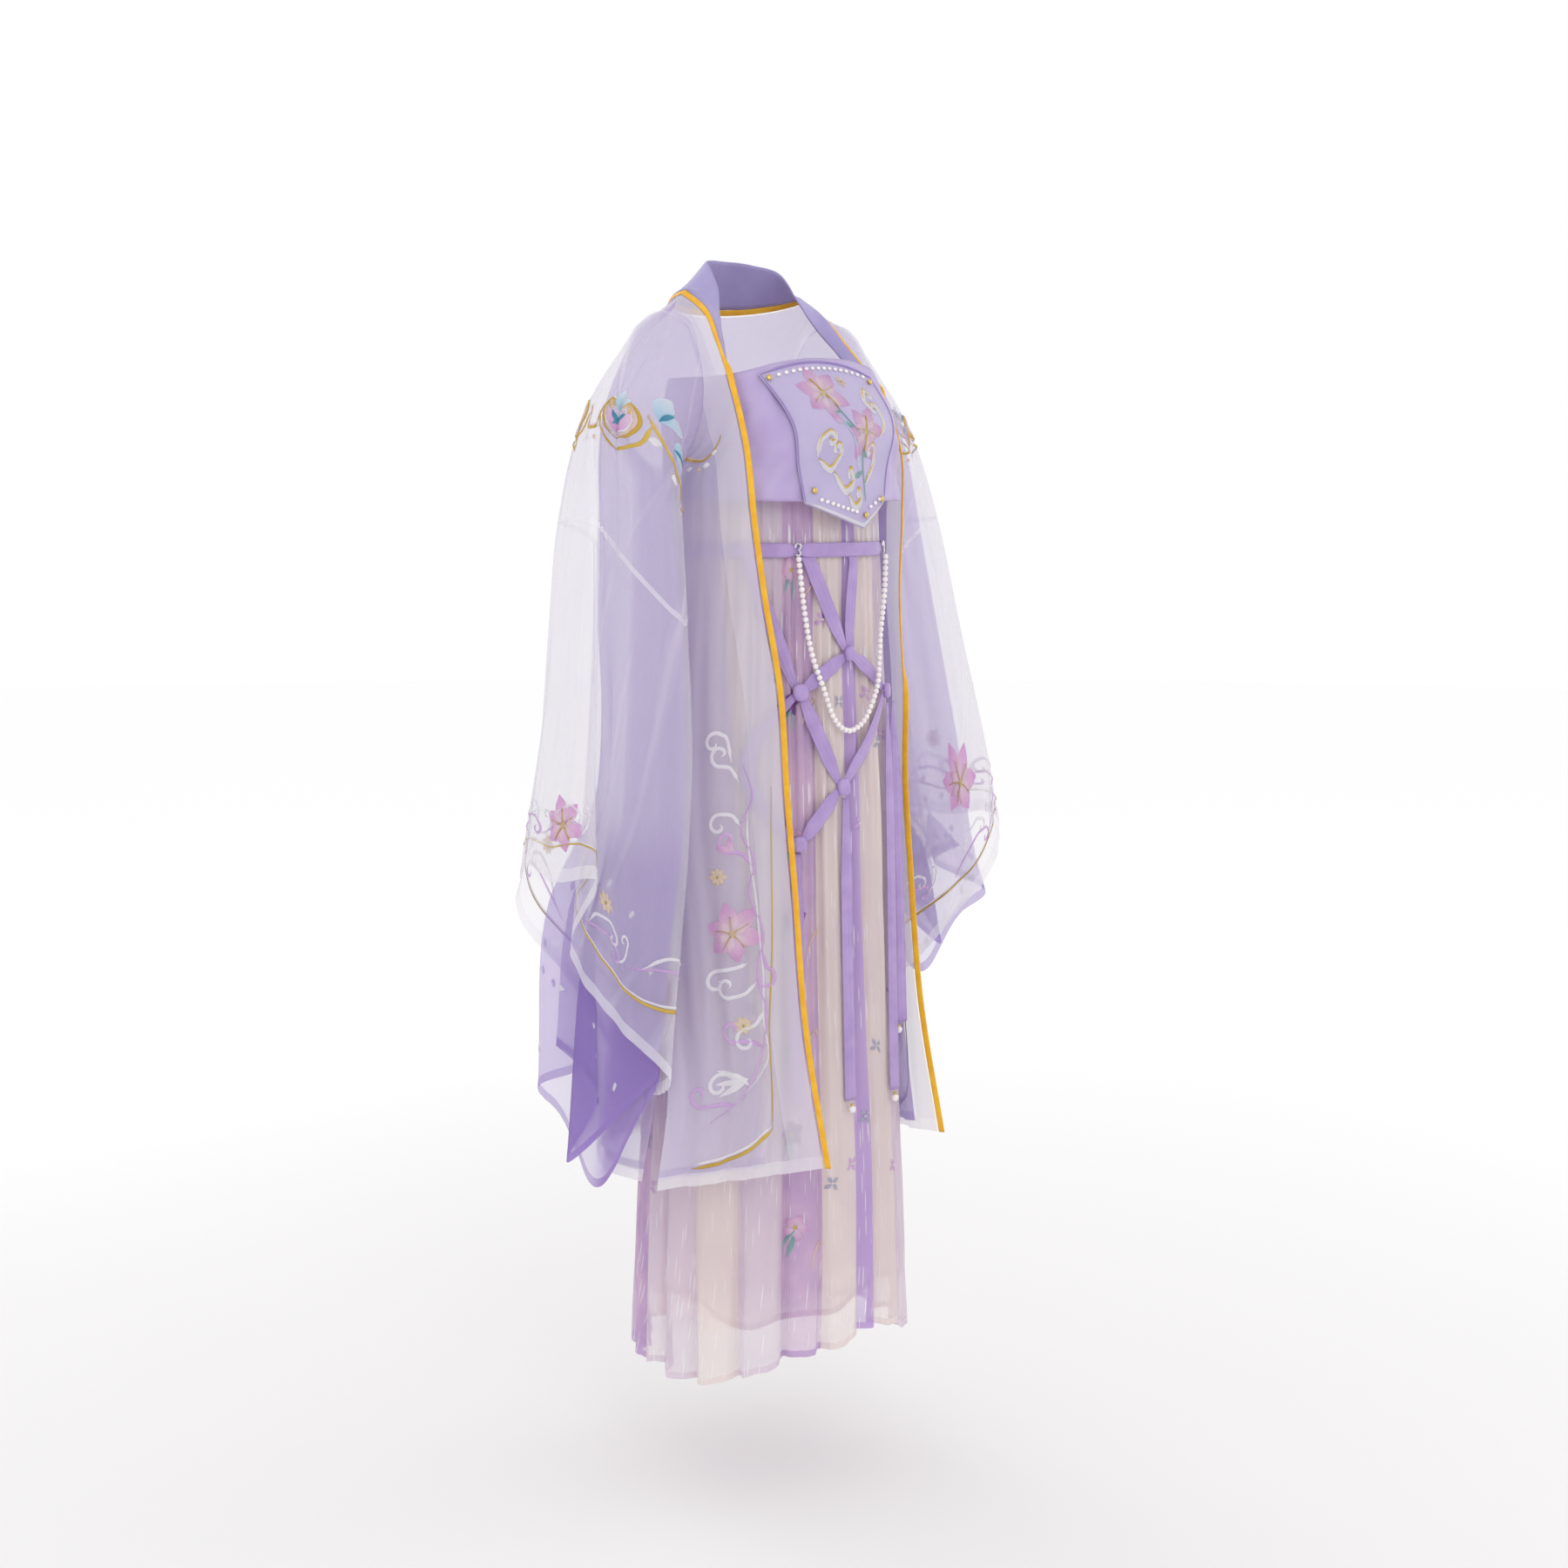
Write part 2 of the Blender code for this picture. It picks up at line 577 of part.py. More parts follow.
def robe_lining_body():
    """Lavender lining of the back and fronts; the facing by the front edge stays bare."""
    rows = (LINING_TOP,) + BODY_ROWS[1:]
    for side, name in ((-1, "lining_front_right"), (1, "lining_front_left")):
        grid = front_grid(side, FRONT_LINING_COLUMNS, rows, LINING_INSET, LINING_SHORT)
        cloth(name, swap_side(grid, side), "lining")
    cloth("lining_back", back_grid(BACK_LINING_COLUMNS, rows, LINING_INSET, LINING_SHORT), "lining")


# Piping and collar

def edge_path(samples_back, samples_front):
    """Bound edge of the right half, from the middle back to the hem."""
    path = [neckline(a) for a in np.linspace(0.0, -90.0, samples_back)]
    for down in samples_front[1:]:
        height = NECK_POINT + (EDGE_HEM - NECK_POINT) * down
        x, y = table_at(FRONT_EDGE, height)
        path.append(np.array([-x, y, height]))
    return np.array(path)


def collar_top(samples):
    """Upper edge of the collar band, evenly by its table rows."""
    rows = np.array(COLLAR_TOP) * [-1, 1, 1]
    places = np.linspace(0, len(rows) - 1, samples)
    return np.array([hermite(np.arange(len(rows)), rows, place) for place in places])


def collar_low(samples):
    """Lower edge of the collar band along the bound edge."""
    path = edge_path(24, np.linspace(0.0, 0.2, 30))
    path = path[path[:, 2] >= COLLAR_END]
    reach = np.concatenate([[0], np.cumsum(np.linalg.norm(np.diff(path, axis=0), axis=1))])
    return np.array([[np.interp(d, reach, path[:, i]) for i in range(3)]
                     for d in np.linspace(0, reach[-1], samples)])


def binding_heading(point, upper):
    """Direction in which the gold binding stands up from the neck edge."""
    heading = upper - point
    heading = heading / max(np.linalg.norm(heading), 1e-9) + np.array([0.0, 0.0, 0.8])
    return heading / np.linalg.norm(heading)


def piping(side, name):
    """Gold binding just beyond the organza's edge."""
    halfway = (np.array(BODY_ROWS)[1:] + np.array(BODY_ROWS)[:-1]) / 2
    path = edge_path(8, sorted((*BODY_ROWS, *halfway[:7])))
    top, low = collar_top(60), collar_low(60)
    grid = []
    for i, point in enumerate(path):
        if point[2] > COLLAR_END + 0.012 or i < 8:
            nearest = int(np.argmin(np.linalg.norm(low - point, axis=1)))
            heading = binding_heading(point, top[nearest])
        else:
            heading = np.array(EDGE_HEADING)
        start = point + heading * PIPING_GAP
        grid.append([start, start + heading * PIPING_WIDTH])
    grid = np.array(grid) - [0, 0, ORIGIN_HEIGHT]
    grid[0, :, 0] = -0.0004
    grid = swap_side(grid, side)
    return cloth(name, moved_out(grid, 0.0008), "gold", wall=PIPING_WALL)


def collar_band():
    """Lavender band that stands round the neck, in one piece."""
    samples = 12
    top, low = collar_top(samples), collar_low(samples)
    half = []
    for upper, lower in zip(top, low):
        lower = lower + binding_heading(lower, upper) * (PIPING_WIDTH + PIPING_WALL)
        room = np.linalg.norm(upper - lower)
        middle = (upper + lower) / 2 + np.array([0.0, 0.0, 0.06 * room])
        half.append([lower, middle, upper])
    half = np.array(half)[:-2] - [0, 0, ORIGIN_HEIGHT]
    other = half[1:][::-1] * np.array([-1.0, 1.0, 1.0])
    cloth("collar_band", np.concatenate([other, half]).transpose(1, 0, 2), "collar")


# Sleeves

def turned(x, y, degrees):
    """A plan offset turned about +Z."""
    c, s = math.cos(math.radians(degrees)), math.sin(math.radians(degrees))
    return c * x - s * y, s * x + c * y


def armhole_start(x, y, side, inset):
    """Place on the armhole ring for a fold that leaves in the direction x, y."""
    turn = math.atan2(y / ARM_START[1], side * x / ARM_START[0])
    return np.array([
        side * (ARM_PLANE + 0.0016),
        ARM_CENTRE[0] + (ARM_RADII[0] - inset) * math.sin(turn),
        ARM_CENTRE[1] + (ARM_RADII[1] - inset) * math.cos(turn),
    ])


def sleeve_lines(place, folds, stations, axis_stations, inset, lining):
    """Fold lines as an array: fold, station, point."""
    side, degrees, axis, cuff_lift, hem_lift, flick = SLEEVE_PLACES[place]
    lines = []
    for n, row in enumerate(folds):
        name, numbers = row[0], np.array(row[1:]).reshape(-1, 3)
        if lining and side > 0 and name in LEFT_FULL:
            for i, fill in enumerate(LEFT_FILL):
                numbers[i, :2] = fill * np.array(SLEEVE_FOLDS[n][3 * i + 1:3 * i + 3])
        line = [armhole_start(*turned(numbers[0][0], numbers[0][1], degrees), side, inset)]
        for i, (x, y, height) in enumerate(numbers):
            along = stations[i + 1]
            axis_x, axis_y = hermite(axis_stations, axis, along)
            last = i == len(numbers) - 1
            if last and name == "back_flick":
                x, y = x * flick, y * flick
            x, y = turned(x, y, degrees)
            lift = (hem_lift if lining else cuff_lift) * max(0.0, (along - 0.66) / 0.34) ** 1.5
            line.append(np.array([axis_x + x, axis_y + y, height + lift]))
        lines.append(line)
    return np.array(lines)


def sleeve_grid(place, folds, stations, axis_stations, places, per_span, inset=0.0, lining=False):
    """Closed rings of a sleeve at the given places from armhole (0) to hem (1)."""
    lines = sleeve_lines(place, folds, stations, axis_stations, inset, lining)
    rings = []
    for along in places:
        points = [hermite(stations, line, along) for line in lines]
        rings.append(ring_through(points, per_span) - [0, 0, ORIGIN_HEIGHT])
    return np.array(rings)


def sleeves():
    """Organza sleeves in two joined pieces, and the lining sleeves."""
    axis_stations = (0.20, 0.42, 0.70, 1.0)
    gap = 0.0005
    for place in SLEEVE_PLACES:
        upper = (0.0, 0.09, 0.20, 0.31, SEAM_STATION - gap)
        lower = (SEAM_STATION + gap, 0.56, 0.70, 0.85, 1.0)
        for name, places in (("upper", upper), ("lower", lower)):
            grid = sleeve_grid(place, SLEEVE_FOLDS, SLEEVE_STATIONS, axis_stations, places, 3)
            cloth(f"sleeve_{name}_{place}", grid, "organza", closed=True)
        places = (0.0, 0.10, 0.22, 0.40, 0.53, 0.66, 0.73, 0.80, 0.90, 1.0)
        lining_axis = (0.18, 0.40, 0.66, 1.0)
        grid = sleeve_grid(place, LINING_FOLDS, LINING_STATIONS, lining_axis, places, 3, 0.007, True)
        cloth(f"lining_sleeve_{place}", grid, "lining", closed=True)


# Skirt

def superellipse(a, b, centre_y, angle, power):
    """Plan point at an angle (degrees) from the front middle, positive to the wearer's left."""
    s, c = math.sin(math.radians(angle)), math.cos(math.radians(angle))
    e = 2 / power
    return (
        a * math.copysign(abs(s) ** e, s),
        centre_y - b * math.copysign(abs(c) ** e, c),
    )


def column_point(angle, height, stand=0.0):
    """Place on the pleats' outer envelope, moved out by stand."""
    a, b, centre_y = table_at(SKIRT_SECTIONS, height)
    x, y = superellipse(a + stand, b + stand, centre_y, angle, SKIRT_POWER)
    return world(x, y, height)


def skirt_point(pleat, down):
    """Place on the gathered skirt, by its count of pleats from the middle back and share down."""
    turn = pleat / PLEATS
    angle = SKIRT_TURN - 180 + 360 * (turn + 0.004 * math.sin(6 * math.pi * turn))
    height = SKIRT_TOP + (float(table_at(SKIRT_HEM, angle)[0]) - SKIRT_TOP) * down
    wave = 0.5 - 0.5 * math.cos(2 * math.pi * pleat)
    depth = float(table_at(PLEAT_DEPTH, height)[0])
    return column_point(angle, height, -depth * (1 - wave))


def skirt():
    """Gathered panels side by side, and the plain lining inside them."""
    first = 0
    rows = (0.0, 0.15, 0.35, 0.57, 0.79, 1.0)
    gap = 0.012
    for name, colour, pleats in SKIRT_PANELS:
        steps = pleats * 4
        places = np.linspace(first + gap, first + pleats - gap, steps + 1)
        grid = [[skirt_point(p, down) for p in places] for down in rows]
        cloth("skirt_" + name, grid, colour)
        first += pleats
    lining = [[column_point(a, h, -SKIRT_LINING_INSET) for a in np.arange(0, 360, 15)]
              for h in (SKIRT_TOP - 0.02, 1.02, 0.65, SKIRT_LINING_HEM)]
    cloth("skirt_lining", lining, "lilac", closed=True)


# Chest piece

def chest_point(angle, height, stand=0.0):
    """Place on the chest piece's outer face."""
    a, b, centre_y = table_at(CHEST_SECTIONS, height)
    x, y = superellipse(a + stand, b + stand, centre_y, angle, CHEST_POWER)
    return world(x, y, height)


def chest_front(x, height, stand=0.0):
    """Place on the chest piece's front, by x."""
    a, b, centre_y = table_at(CHEST_SECTIONS, height)
    a, b = a + stand, b + stand
    y = centre_y - b * (1 - min(abs(x / a), 0.999) ** CHEST_POWER) ** (1 / CHEST_POWER)
    return world(x, y, height)


def panel_point(across, down, stand):
    """Place on the chest panel: across -1 to 1, down 0 to 1."""
    rows = np.array(CHEST_PANEL)
    middle, side, half, centre = hermite(np.linspace(0, 1, len(rows)), rows, down)
    tip = CHEST_TIP * down**3
    away = abs(across - tip) / (1 - math.copysign(tip, across - tip))
    height = middle + (side - middle) * away ** (2.2 - 1.1 * down)
    return chest_front(centre + half * across, height, stand)


def chest_piece():
    """Satin wrap, its front panel and five studs."""
    wrap = []
    for down in np.linspace(0.0, 1.0, 6):
        ring = []
        for angle in np.arange(0, 360, 12):
            front = max(0.0, math.cos(math.radians(angle))) ** 2
            top = CHEST_TOP_SIDE + (CHEST_TOP_FRONT - CHEST_TOP_SIDE) * front
            ring.append(chest_point(angle, top + (CHEST_BOTTOM - top) * down))
        wrap.append(ring)
    cloth("chest_wrap", wrap, "satin", closed=True)
    stand = CHEST_STAND
    grid = [[panel_point(a, d, stand) for a in np.linspace(-1, 1, 13)] for d in np.linspace(0, 1, 7)]
    cloth("chest_panel", grid, "panel", wall=0.0016)
    for number, (across, down) in enumerate(STUDS, 1):
        centre = panel_point(across, down, stand)
        side, below = panel_point(across + 0.02, down, stand), panel_point(across, down + 0.02, stand)
        normal = np.cross(side - centre, below - centre)
        normal *= -1 if normal[1] > 0 else 1
        normal /= np.linalg.norm(normal)
        middle = centre + normal * (STUD_RADIUS * STUD_SQUASH + SEAM_GAP)
        dome(f"stud_{number}", middle, normal, STUD_RADIUS, STUD_SQUASH, "stud")


def dome(name, centre, normal, radius, squash, colour):
    """A small flattened ball whose short axis lies along normal."""
    work = bmesh.new()
    bmesh.ops.create_icosphere(work, subdivisions=2, radius=radius)
    turn = Vector((0, 0, 1)).rotation_difference(Vector(normal))
    for vertex in work.verts:
        vertex.co.z *= squash
        vertex.co = turn @ vertex.co + Vector(centre)
    mesh = bpy.data.meshes.new(name)
    work.to_mesh(mesh)
    work.free()
    return make_object(name, mesh, colour)


# Belt, net and pearls

def belt():
    """Ribbon belt round the gathered skirt."""
    rows = [[column_point(a, BELT_HEIGHT + h, NET_STAND) for a in np.arange(0, 360, 10)]
            for h in (BELT_WIDTH / 2, -BELT_WIDTH / 2)]
    cloth("belt", rows, "ribbon", closed=True)


def strip(name, route, width, stand, start_narrow=1.0, end_narrow=1.0):
    """A flat ribbon along a route of (angle, height) on the pleats' envelope."""
    centres = [column_point(a, h, stand) for a, h in route]
    grid = []
    for i, centre in enumerate(centres):
        before, after = centres[max(i - 1, 0)], centres[min(i + 1, len(centres) - 1)]
        along = after - before
        along /= np.linalg.norm(along)
        angle, height = route[i]
        out = column_point(angle, height, stand + 0.01) - centre
        out /= np.linalg.norm(out)
        across = np.cross(along, out)
        across /= np.linalg.norm(across)
        t = i / (len(centres) - 1)
        narrow = start_narrow + (1 - start_narrow) * min(t / 0.25, 1.0)
        narrow = min(narrow, end_narrow + (1 - end_narrow) * min((1 - t) / 0.25, 1.0))
        half = width / 2 * narrow
        grid.append([centre + across * half, centre - across * half])
    return cloth(name, grid, "ribbon")


def ribbon_net():
    """Links, knots and tails that lie on the pleats."""
    for name, angle_1, height_1, angle_2, height_2, bow in LINKS:
        route = [(angle_1 + (angle_2 - angle_1) * t + bow * math.sin(math.pi * t),
                  height_1 + (height_2 - height_1) * t) for t in np.linspace(0, 1, 7)]
        top_narrow = 1.0 if name.startswith("belt") else 0.55
        strip("net_" + name, route, RIBBON, NET_STAND, top_narrow, 0.55)
    for name, angle, height, half_width, half_height in KNOTS:
        centre = column_point(angle, height, KNOT_STAND)
        out = column_point(angle, height, 0.02) - centre
        knot = dome("net_" + name, centre, out / np.linalg.norm(out), 1.0, 0.45, "ribbon")
        for vertex in knot.data.vertices:
            local = vertex.co - Vector(centre)
            vertex.co = Vector(centre) + local * ((half_width + half_height) / 2)
    for name, angle_1, angle_2, height_1, height_2 in TAILS:
        route = [(angle_1 + (angle_2 - angle_1) * t, height_1 + (height_2 - height_1) * t)
                 for t in np.linspace(0, 1, 9)]
        strip("net_" + name, route, RIBBON * 0.95, NET_STAND, 0.5, 1.0)
        if name in PEARL_TAILS:
            end = column_point(angle_2, height_2 - 0.006 - TAIL_PEARL_RADIUS, TAIL_PEARL_RADIUS + 0.0010)
            dome("pearl_" + name, end, (0, 0, 1), TAIL_PEARL_RADIUS, 1.0, "pearl")


def tube(name, points, radius, colour):
    """A round cord along points, with filled ends."""
    curve = bpy.data.curves.new(name, "CURVE")
    curve.dimensions = "3D"
    curve.bevel_depth = radius
    curve.bevel_resolution = 2
    curve.use_fill_caps = True
    spline = curve.splines.new("POLY")
    spline.points.add(len(points) - 1)
    for target, point in zip(spline.points, points):
        target.co = (*point, 1.0)
    curve.materials.append(material(colour))
    cord = bpy.data.objects.new(name, curve)
    bpy.context.scene.collection.objects.link(cord)
    return cord


def strand_points(count):
    """Smooth route of the pearl strand, from hook to hook."""
    rows = np.array(STRAND_ROUTE)
    keys = np.arange(len(rows))
    return [column_point(*hermite(keys, rows, key)) for key in np.linspace(0, len(rows) - 1, count)]


def hooks_and_strand():
    """Silver hooks on the belt and the strand that swings between them."""
    for side, angle in HOOK_ANGLES.items():
        shape = []
        for turn in np.linspace(200, -90, 7):
            a = math.radians(turn)
            shape.append((1.6 * math.cos(a), BELT_HEIGHT + 0.0045 + 0.0040 * math.sin(a)))
        for turn in np.linspace(80, -150, 6)[1:]:
            a = math.radians(turn)
            shape.append((1.36 * math.cos(a), BELT_HEIGHT - 0.0032 + 0.0034 * math.sin(a)))
        points = [column_point(angle + degrees, h, HOOK_STAND) for degrees, h in shape]
        tube(f"hook_{side}", points, HOOK_WIRE, "silver")
    tube("pearl_strand", strand_points(36), PEARL_STRAND_RADIUS, "pearl")


robe_body()
robe_lining_body()
for label, half in (("gold_piping_right", -1), ("gold_piping_left", 1)):
    piping(half, label)
collar_band()
sleeves()
skirt()
chest_piece()
belt()
ribbon_net()
hooks_and_strand()
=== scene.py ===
# Worn hanfu set: organza robe over its lavender lining, chest piece, pleated skirt, ribbon belt,
# ribbon net and pearl strand. Metres, +Z up, the wearer faces -Y, the wearer's right is -X.
# Heights in the tables are above the floor that the wearer stands on.
import functools
import math

import bmesh
import bpy
import numpy as np
from mathutils import Matrix, Vector

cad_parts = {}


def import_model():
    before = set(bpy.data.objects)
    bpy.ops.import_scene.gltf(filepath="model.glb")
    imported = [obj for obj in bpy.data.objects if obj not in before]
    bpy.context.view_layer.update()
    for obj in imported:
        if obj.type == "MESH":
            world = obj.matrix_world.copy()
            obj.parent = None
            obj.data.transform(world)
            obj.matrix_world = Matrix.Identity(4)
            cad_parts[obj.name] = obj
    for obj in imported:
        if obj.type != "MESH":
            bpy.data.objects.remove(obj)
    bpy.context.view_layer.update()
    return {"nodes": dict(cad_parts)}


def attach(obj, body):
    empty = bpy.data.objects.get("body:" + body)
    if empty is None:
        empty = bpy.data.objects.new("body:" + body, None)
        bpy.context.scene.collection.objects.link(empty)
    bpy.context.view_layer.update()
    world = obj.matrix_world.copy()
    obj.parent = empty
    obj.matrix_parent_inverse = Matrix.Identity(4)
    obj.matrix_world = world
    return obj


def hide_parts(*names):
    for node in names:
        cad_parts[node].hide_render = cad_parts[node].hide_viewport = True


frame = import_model()
originHeight = 1.50
print("frame:", len(frame["nodes"]), "nodes")


# Shaders

class Wire:
    # one socket of a material, so that sums on it become Math nodes
    def __init__(self, tree, socket=None):
        self.tree, self.socket = tree, socket

    def node(self, kind, settings=None, sockets=None, out=0):
        made = self.tree.nodes.new(kind)
        for key, value in (settings or {}).items():
            setattr(made, key, value)
        for key, value in (sockets or {}).items():
            if isinstance(value, Wire):
                self.tree.links.new(value.socket, made.inputs[key])
            else:
                setSocket(made.inputs[key], value)
        return Wire(self.tree, made.outputs[out])

    def math(self, operation, *values):
        return self.node("ShaderNodeMath", {"operation": operation}, dict(enumerate(values)))

    def __add__(self, other):
        return self.math("ADD", self, other)

    __radd__ = __add__

    def __sub__(self, other):
        return self.math("SUBTRACT", self, other)

    def __rsub__(self, other):
        return self.math("SUBTRACT", other, self)

    def __mul__(self, other):
        return self.math("MULTIPLY", self, other)

    __rmul__ = __mul__

    def __lt__(self, other):
        return self.math("LESS_THAN", self, other)

    def __gt__(self, other):
        return self.math("GREATER_THAN", self, other)

    def __or__(self, other):
        return self.math("MAXIMUM", self, other)

    def __abs__(self):
        return self.math("ABSOLUTE", self)

    def sine(self):
        return self.math("SINE", self)

    def axis(self, place):
        return self.node("ShaderNodeSeparateXYZ", None, {0: self}, place)

    def stretched(self, scale):
        return self.node("ShaderNodeVectorMath", {"operation": "MULTIPLY"}, {0: self, 1: scale})

    def noise(self, scale, detail=2.0):
        return self.node("ShaderNodeTexNoise", None, {"Vector": self, "Scale": scale, "Detail": detail})

    def ramp(self, low, high, start=0.0, end=1.0):
        return self.node("ShaderNodeMapRange", {"interpolation_type": "SMOOTHSTEP"},
                         {0: self, 1: low, 2: high, 3: start, 4: end})

    def blend(self, first, second):
        return self.node("ShaderNodeMix", {"data_type": "RGBA"}, {0: self, 6: first, 7: second}, 2)


def setSocket(socket, value):
    socket.default_value = (*value, 1.0) if socket.type == "RGBA" else value


class Finish:
    # a Principled material; its fixed values sit on its own sockets
    def __init__(self, name, fixed):
        self.material = bpy.data.materials.new(name)
        self.material.use_nodes = True
        self.tree = self.material.node_tree
        self.shader = self.tree.nodes["Principled BSDF"]
        for key, value in fixed.items():
            setSocket(self.shader.inputs[key], value)
        self.wire = Wire(self.tree)

    def place(self):
        return self.wire.node("ShaderNodeTexCoord", out=3)

    def layer(self, name):
        return self.wire.node("ShaderNodeUVMap", {"uv_map": name})

    def feed(self, socket, wire):
        self.tree.links.new(wire.socket, self.shader.inputs[socket])

    def bump(self, height, distance, strength=1.0):
        self.feed("Normal", self.wire.node("ShaderNodeBump", None,
                                           {"Strength": strength, "Distance": distance, "Height": height}))

    def veil(self, opacity, glow, glowColour):
        # see-through cloth: partly open, and part of the light that it catches goes on to its far side
        front = Wire(self.tree, self.shader.outputs["BSDF"])
        beyond = self.wire.node("ShaderNodeBsdfTranslucent", None, {"Color": glowColour})
        cloth = self.wire.node("ShaderNodeMixShader", None, {0: glow, 1: front, 2: beyond})
        clear = self.wire.node("ShaderNodeBsdfTransparent", None, {"Color": (1.0, 1.0, 1.0)})
        whole = self.wire.node("ShaderNodeMixShader", None, {0: opacity, 1: clear, 2: cloth})
        self.tree.links.new(whole.socket, self.tree.nodes["Material Output"].inputs["Surface"])


def threads(finish, pitch, layer="cut"):
    # plain weave: two sets of threads at right angles
    spot = finish.layer(layer)
    turns = 2 * math.pi / pitch
    warp = (spot.axis(0) * turns).sine()
    weft = (spot.axis(1) * turns).sine()
    return warp * weft


def sheerFinish(name, look):
    # see-through cloth with a denser hem band, and a facing along its front edge where it has one
    made = Finish(name, {"Roughness": look["roughness"], "Sheen Weight": look["sheen"],
                         "Sheen Roughness": 0.4, "Specular IOR Level": 0.3})
    rim = made.layer("rim")
    toHem, toEdge = rim.axis(1), rim.axis(0)
    share = made.layer("share")
    band = (toHem < look["band"]) * (share.axis(1) > 0.5)
    cloud = made.place().noise(look["cloudScale"], 3.0)
    fine = made.place().stretched((1.0, 1.0, 0.08)).noise(900.0, 2.0)
    alpha = look["alpha"] + (cloud - 0.5) * look["patchy"] + (fine - 0.5) * 0.04
    # vertical streaks: denser where the cloth crinkles, and turned whiter, which is a painted fold highlight
    if look.get("highlightStreaks"):
        streak = made.layer("cut").stretched((26.0, 1.1, 1.0)).noise(1.0, 2.0).ramp(0.54, 0.74)
        alpha = alpha + streak * look["highlightStreaks"]
    alpha = alpha | band * look["bandAlpha"]
    if look.get("facing"):
        alpha = alpha | (toEdge < look["facing"]) * look["facingAlpha"]
    ply = cloud.blend(look["colour"], look["shade"])
    if look.get("highlightStreaks"):
        ply = streak.blend(ply, look["bandColour"])
    if look.get("seam"):
        join = abs(share.axis(1) - look["seam"]) < look["seamHalf"]
        alpha = alpha | join * look["bandAlpha"]
        ply = join.blend(ply, look["bandColour"])
    # a bunched zone: denser for the extra layers of cloth gathered there, and recoloured; on the sleeve and
    # left front linings its darker purple is partly painted shade of the deep folds
    if look.get("bunch"):
        start, end, top = look["bunch"]
        around, down = share.axis(0), share.axis(1)
        doubledAndShaded = around.ramp(start, start + 0.06) * around.ramp(end, end + 0.06, 1.0, 0.0)
        doubledAndShaded = doubledAndShaded * down.ramp(top, top + 0.1)
        alpha = alpha + doubledAndShaded * look["bunchAlpha"]
        ply = doubledAndShaded.blend(ply, look.get("bunchColour", look["bandColour"]))
    made.feed("Base Color", band.blend(ply, look["bandColour"]))
    made.veil(alpha, look["glow"], look["glowColour"])
    fold = abs(toHem - look["band"]) < 0.0008
    made.bump(threads(made, look["pitch"]) * 0.3 + fine - fold * 0.8, 0.0004, 0.5)
    return made.material


def clothFinish(name, look):
    # close-woven cloth: satin, ribbon and bindings
    fixed = {"Roughness": look["roughness"], "Sheen Weight": look["sheen"], "Sheen Roughness": 0.35,
             "Anisotropic": look.get("streak", 0.0), "Specular IOR Level": look.get("specular", 0.4)}
    made = Finish(name, fixed)
    cloud = made.place().noise(look.get("cloudScale", 30.0), 3.0)
    fine = made.place().noise(1400.0, 2.0)
    made.feed("Base Color", cloud.ramp(0.3, 0.7).blend(look["colour"], look["shade"]))
    made.feed("Roughness", look["roughness"] + (fine - 0.5) * 0.15)
    made.bump(threads(made, look["pitch"]) * 0.4 + fine * 0.6, 0.0003, look.get("bump", 0.5))
    return made.material


# Curves and grids

def world(x, y, height):
    return np.array([x, y, height - originHeight])


@functools.lru_cache(None)
def slopesOf(keys, table):
    keys, values = np.array(keys, float), np.array(table, float)
    if keys[0] > keys[-1]:
        keys, values = keys[::-1], values[::-1]
    return keys, values, np.gradient(values, keys, axis=0)


def cubic(t, start, end, turnIn, turnOut):
    return ((2 * t**3 - 3 * t**2 + 1) * start + (t**3 - 2 * t**2 + t) * turnIn
            + (3 * t**2 - 2 * t**3) * end + (t**3 - t**2) * turnOut)


def hermite(keys, values, at):
    # smooth curve through values, one row for each key
    if isinstance(values, np.ndarray):
        values = values.tolist()
    frozen = tuple(tuple(v) if hasattr(v, "__len__") else v for v in values)
    keys, values, slopes = slopesOf(tuple(keys), frozen)
    at = min(max(at, keys[0]), keys[-1])
    i = min(max(int(np.searchsorted(keys, at)) - 1, 0), len(keys) - 2)
    span = keys[i + 1] - keys[i]
    t = (at - keys[i]) / span
    return cubic(t, values[i], values[i + 1], span * slopes[i], span * slopes[i + 1])


@functools.lru_cache(None)
def columnsOf(table):
    return tuple(row[0] for row in table), tuple(row[1:] for row in table)


def tableAt(table, height):
    keys, values = columnsOf(table)
    return hermite(keys, values, height)


def ringThrough(points, perSpan):
    # closed smooth curve through points, with perSpan places on each span
    points = np.asarray(points, float)
    ahead = np.roll(points, -1, axis=0) - points
    reach = np.maximum(np.linalg.norm(ahead, axis=1), 1e-6)
    before, backReach = np.roll(ahead, 1, axis=0), np.roll(reach, 1)
    slopes = (ahead * (backReach / reach)[:, None] + before * (reach / backReach)[:, None])
    slopes /= (reach + backReach)[:, None]
    t = (np.arange(perSpan) / perSpan)[None, :, None]
    start, end = points[:, None], np.roll(points, -1, axis=0)[:, None]
    turnIn = (slopes * reach[:, None])[:, None]
    turnOut = (np.roll(slopes, -1, axis=0) * reach[:, None])[:, None]
    return cubic(t, start, end, turnIn, turnOut).reshape(-1, 3)


def spread(values, count, closed=False):
    # values along the first axis, taken again at count even places on a smooth curve
    size = len(values)
    at = np.arange(count) * size / count if closed else np.linspace(0, size - 1, count)
    i = np.minimum(at.astype(int), size - 1 if closed else size - 2)
    t = (at - i).reshape(-1, *[1] * (values.ndim - 1))
    take = (lambda k: values[k % size]) if closed else (lambda k: values[np.clip(k, 0, size - 1)])
    a, b, c, d = take(i - 1), take(i), take(i + 1), take(i + 2)
    return b + t * ((c - a) / 2 + t * (a - 2.5 * b + 2 * c - d / 2 + t * (1.5 * (b - c) + (d - a) / 2)))


def finer(grid, rows, columns, closed=False):
    tall = spread(grid, rows)
    return spread(tall.swapaxes(0, 1), columns, closed).swapaxes(0, 1)


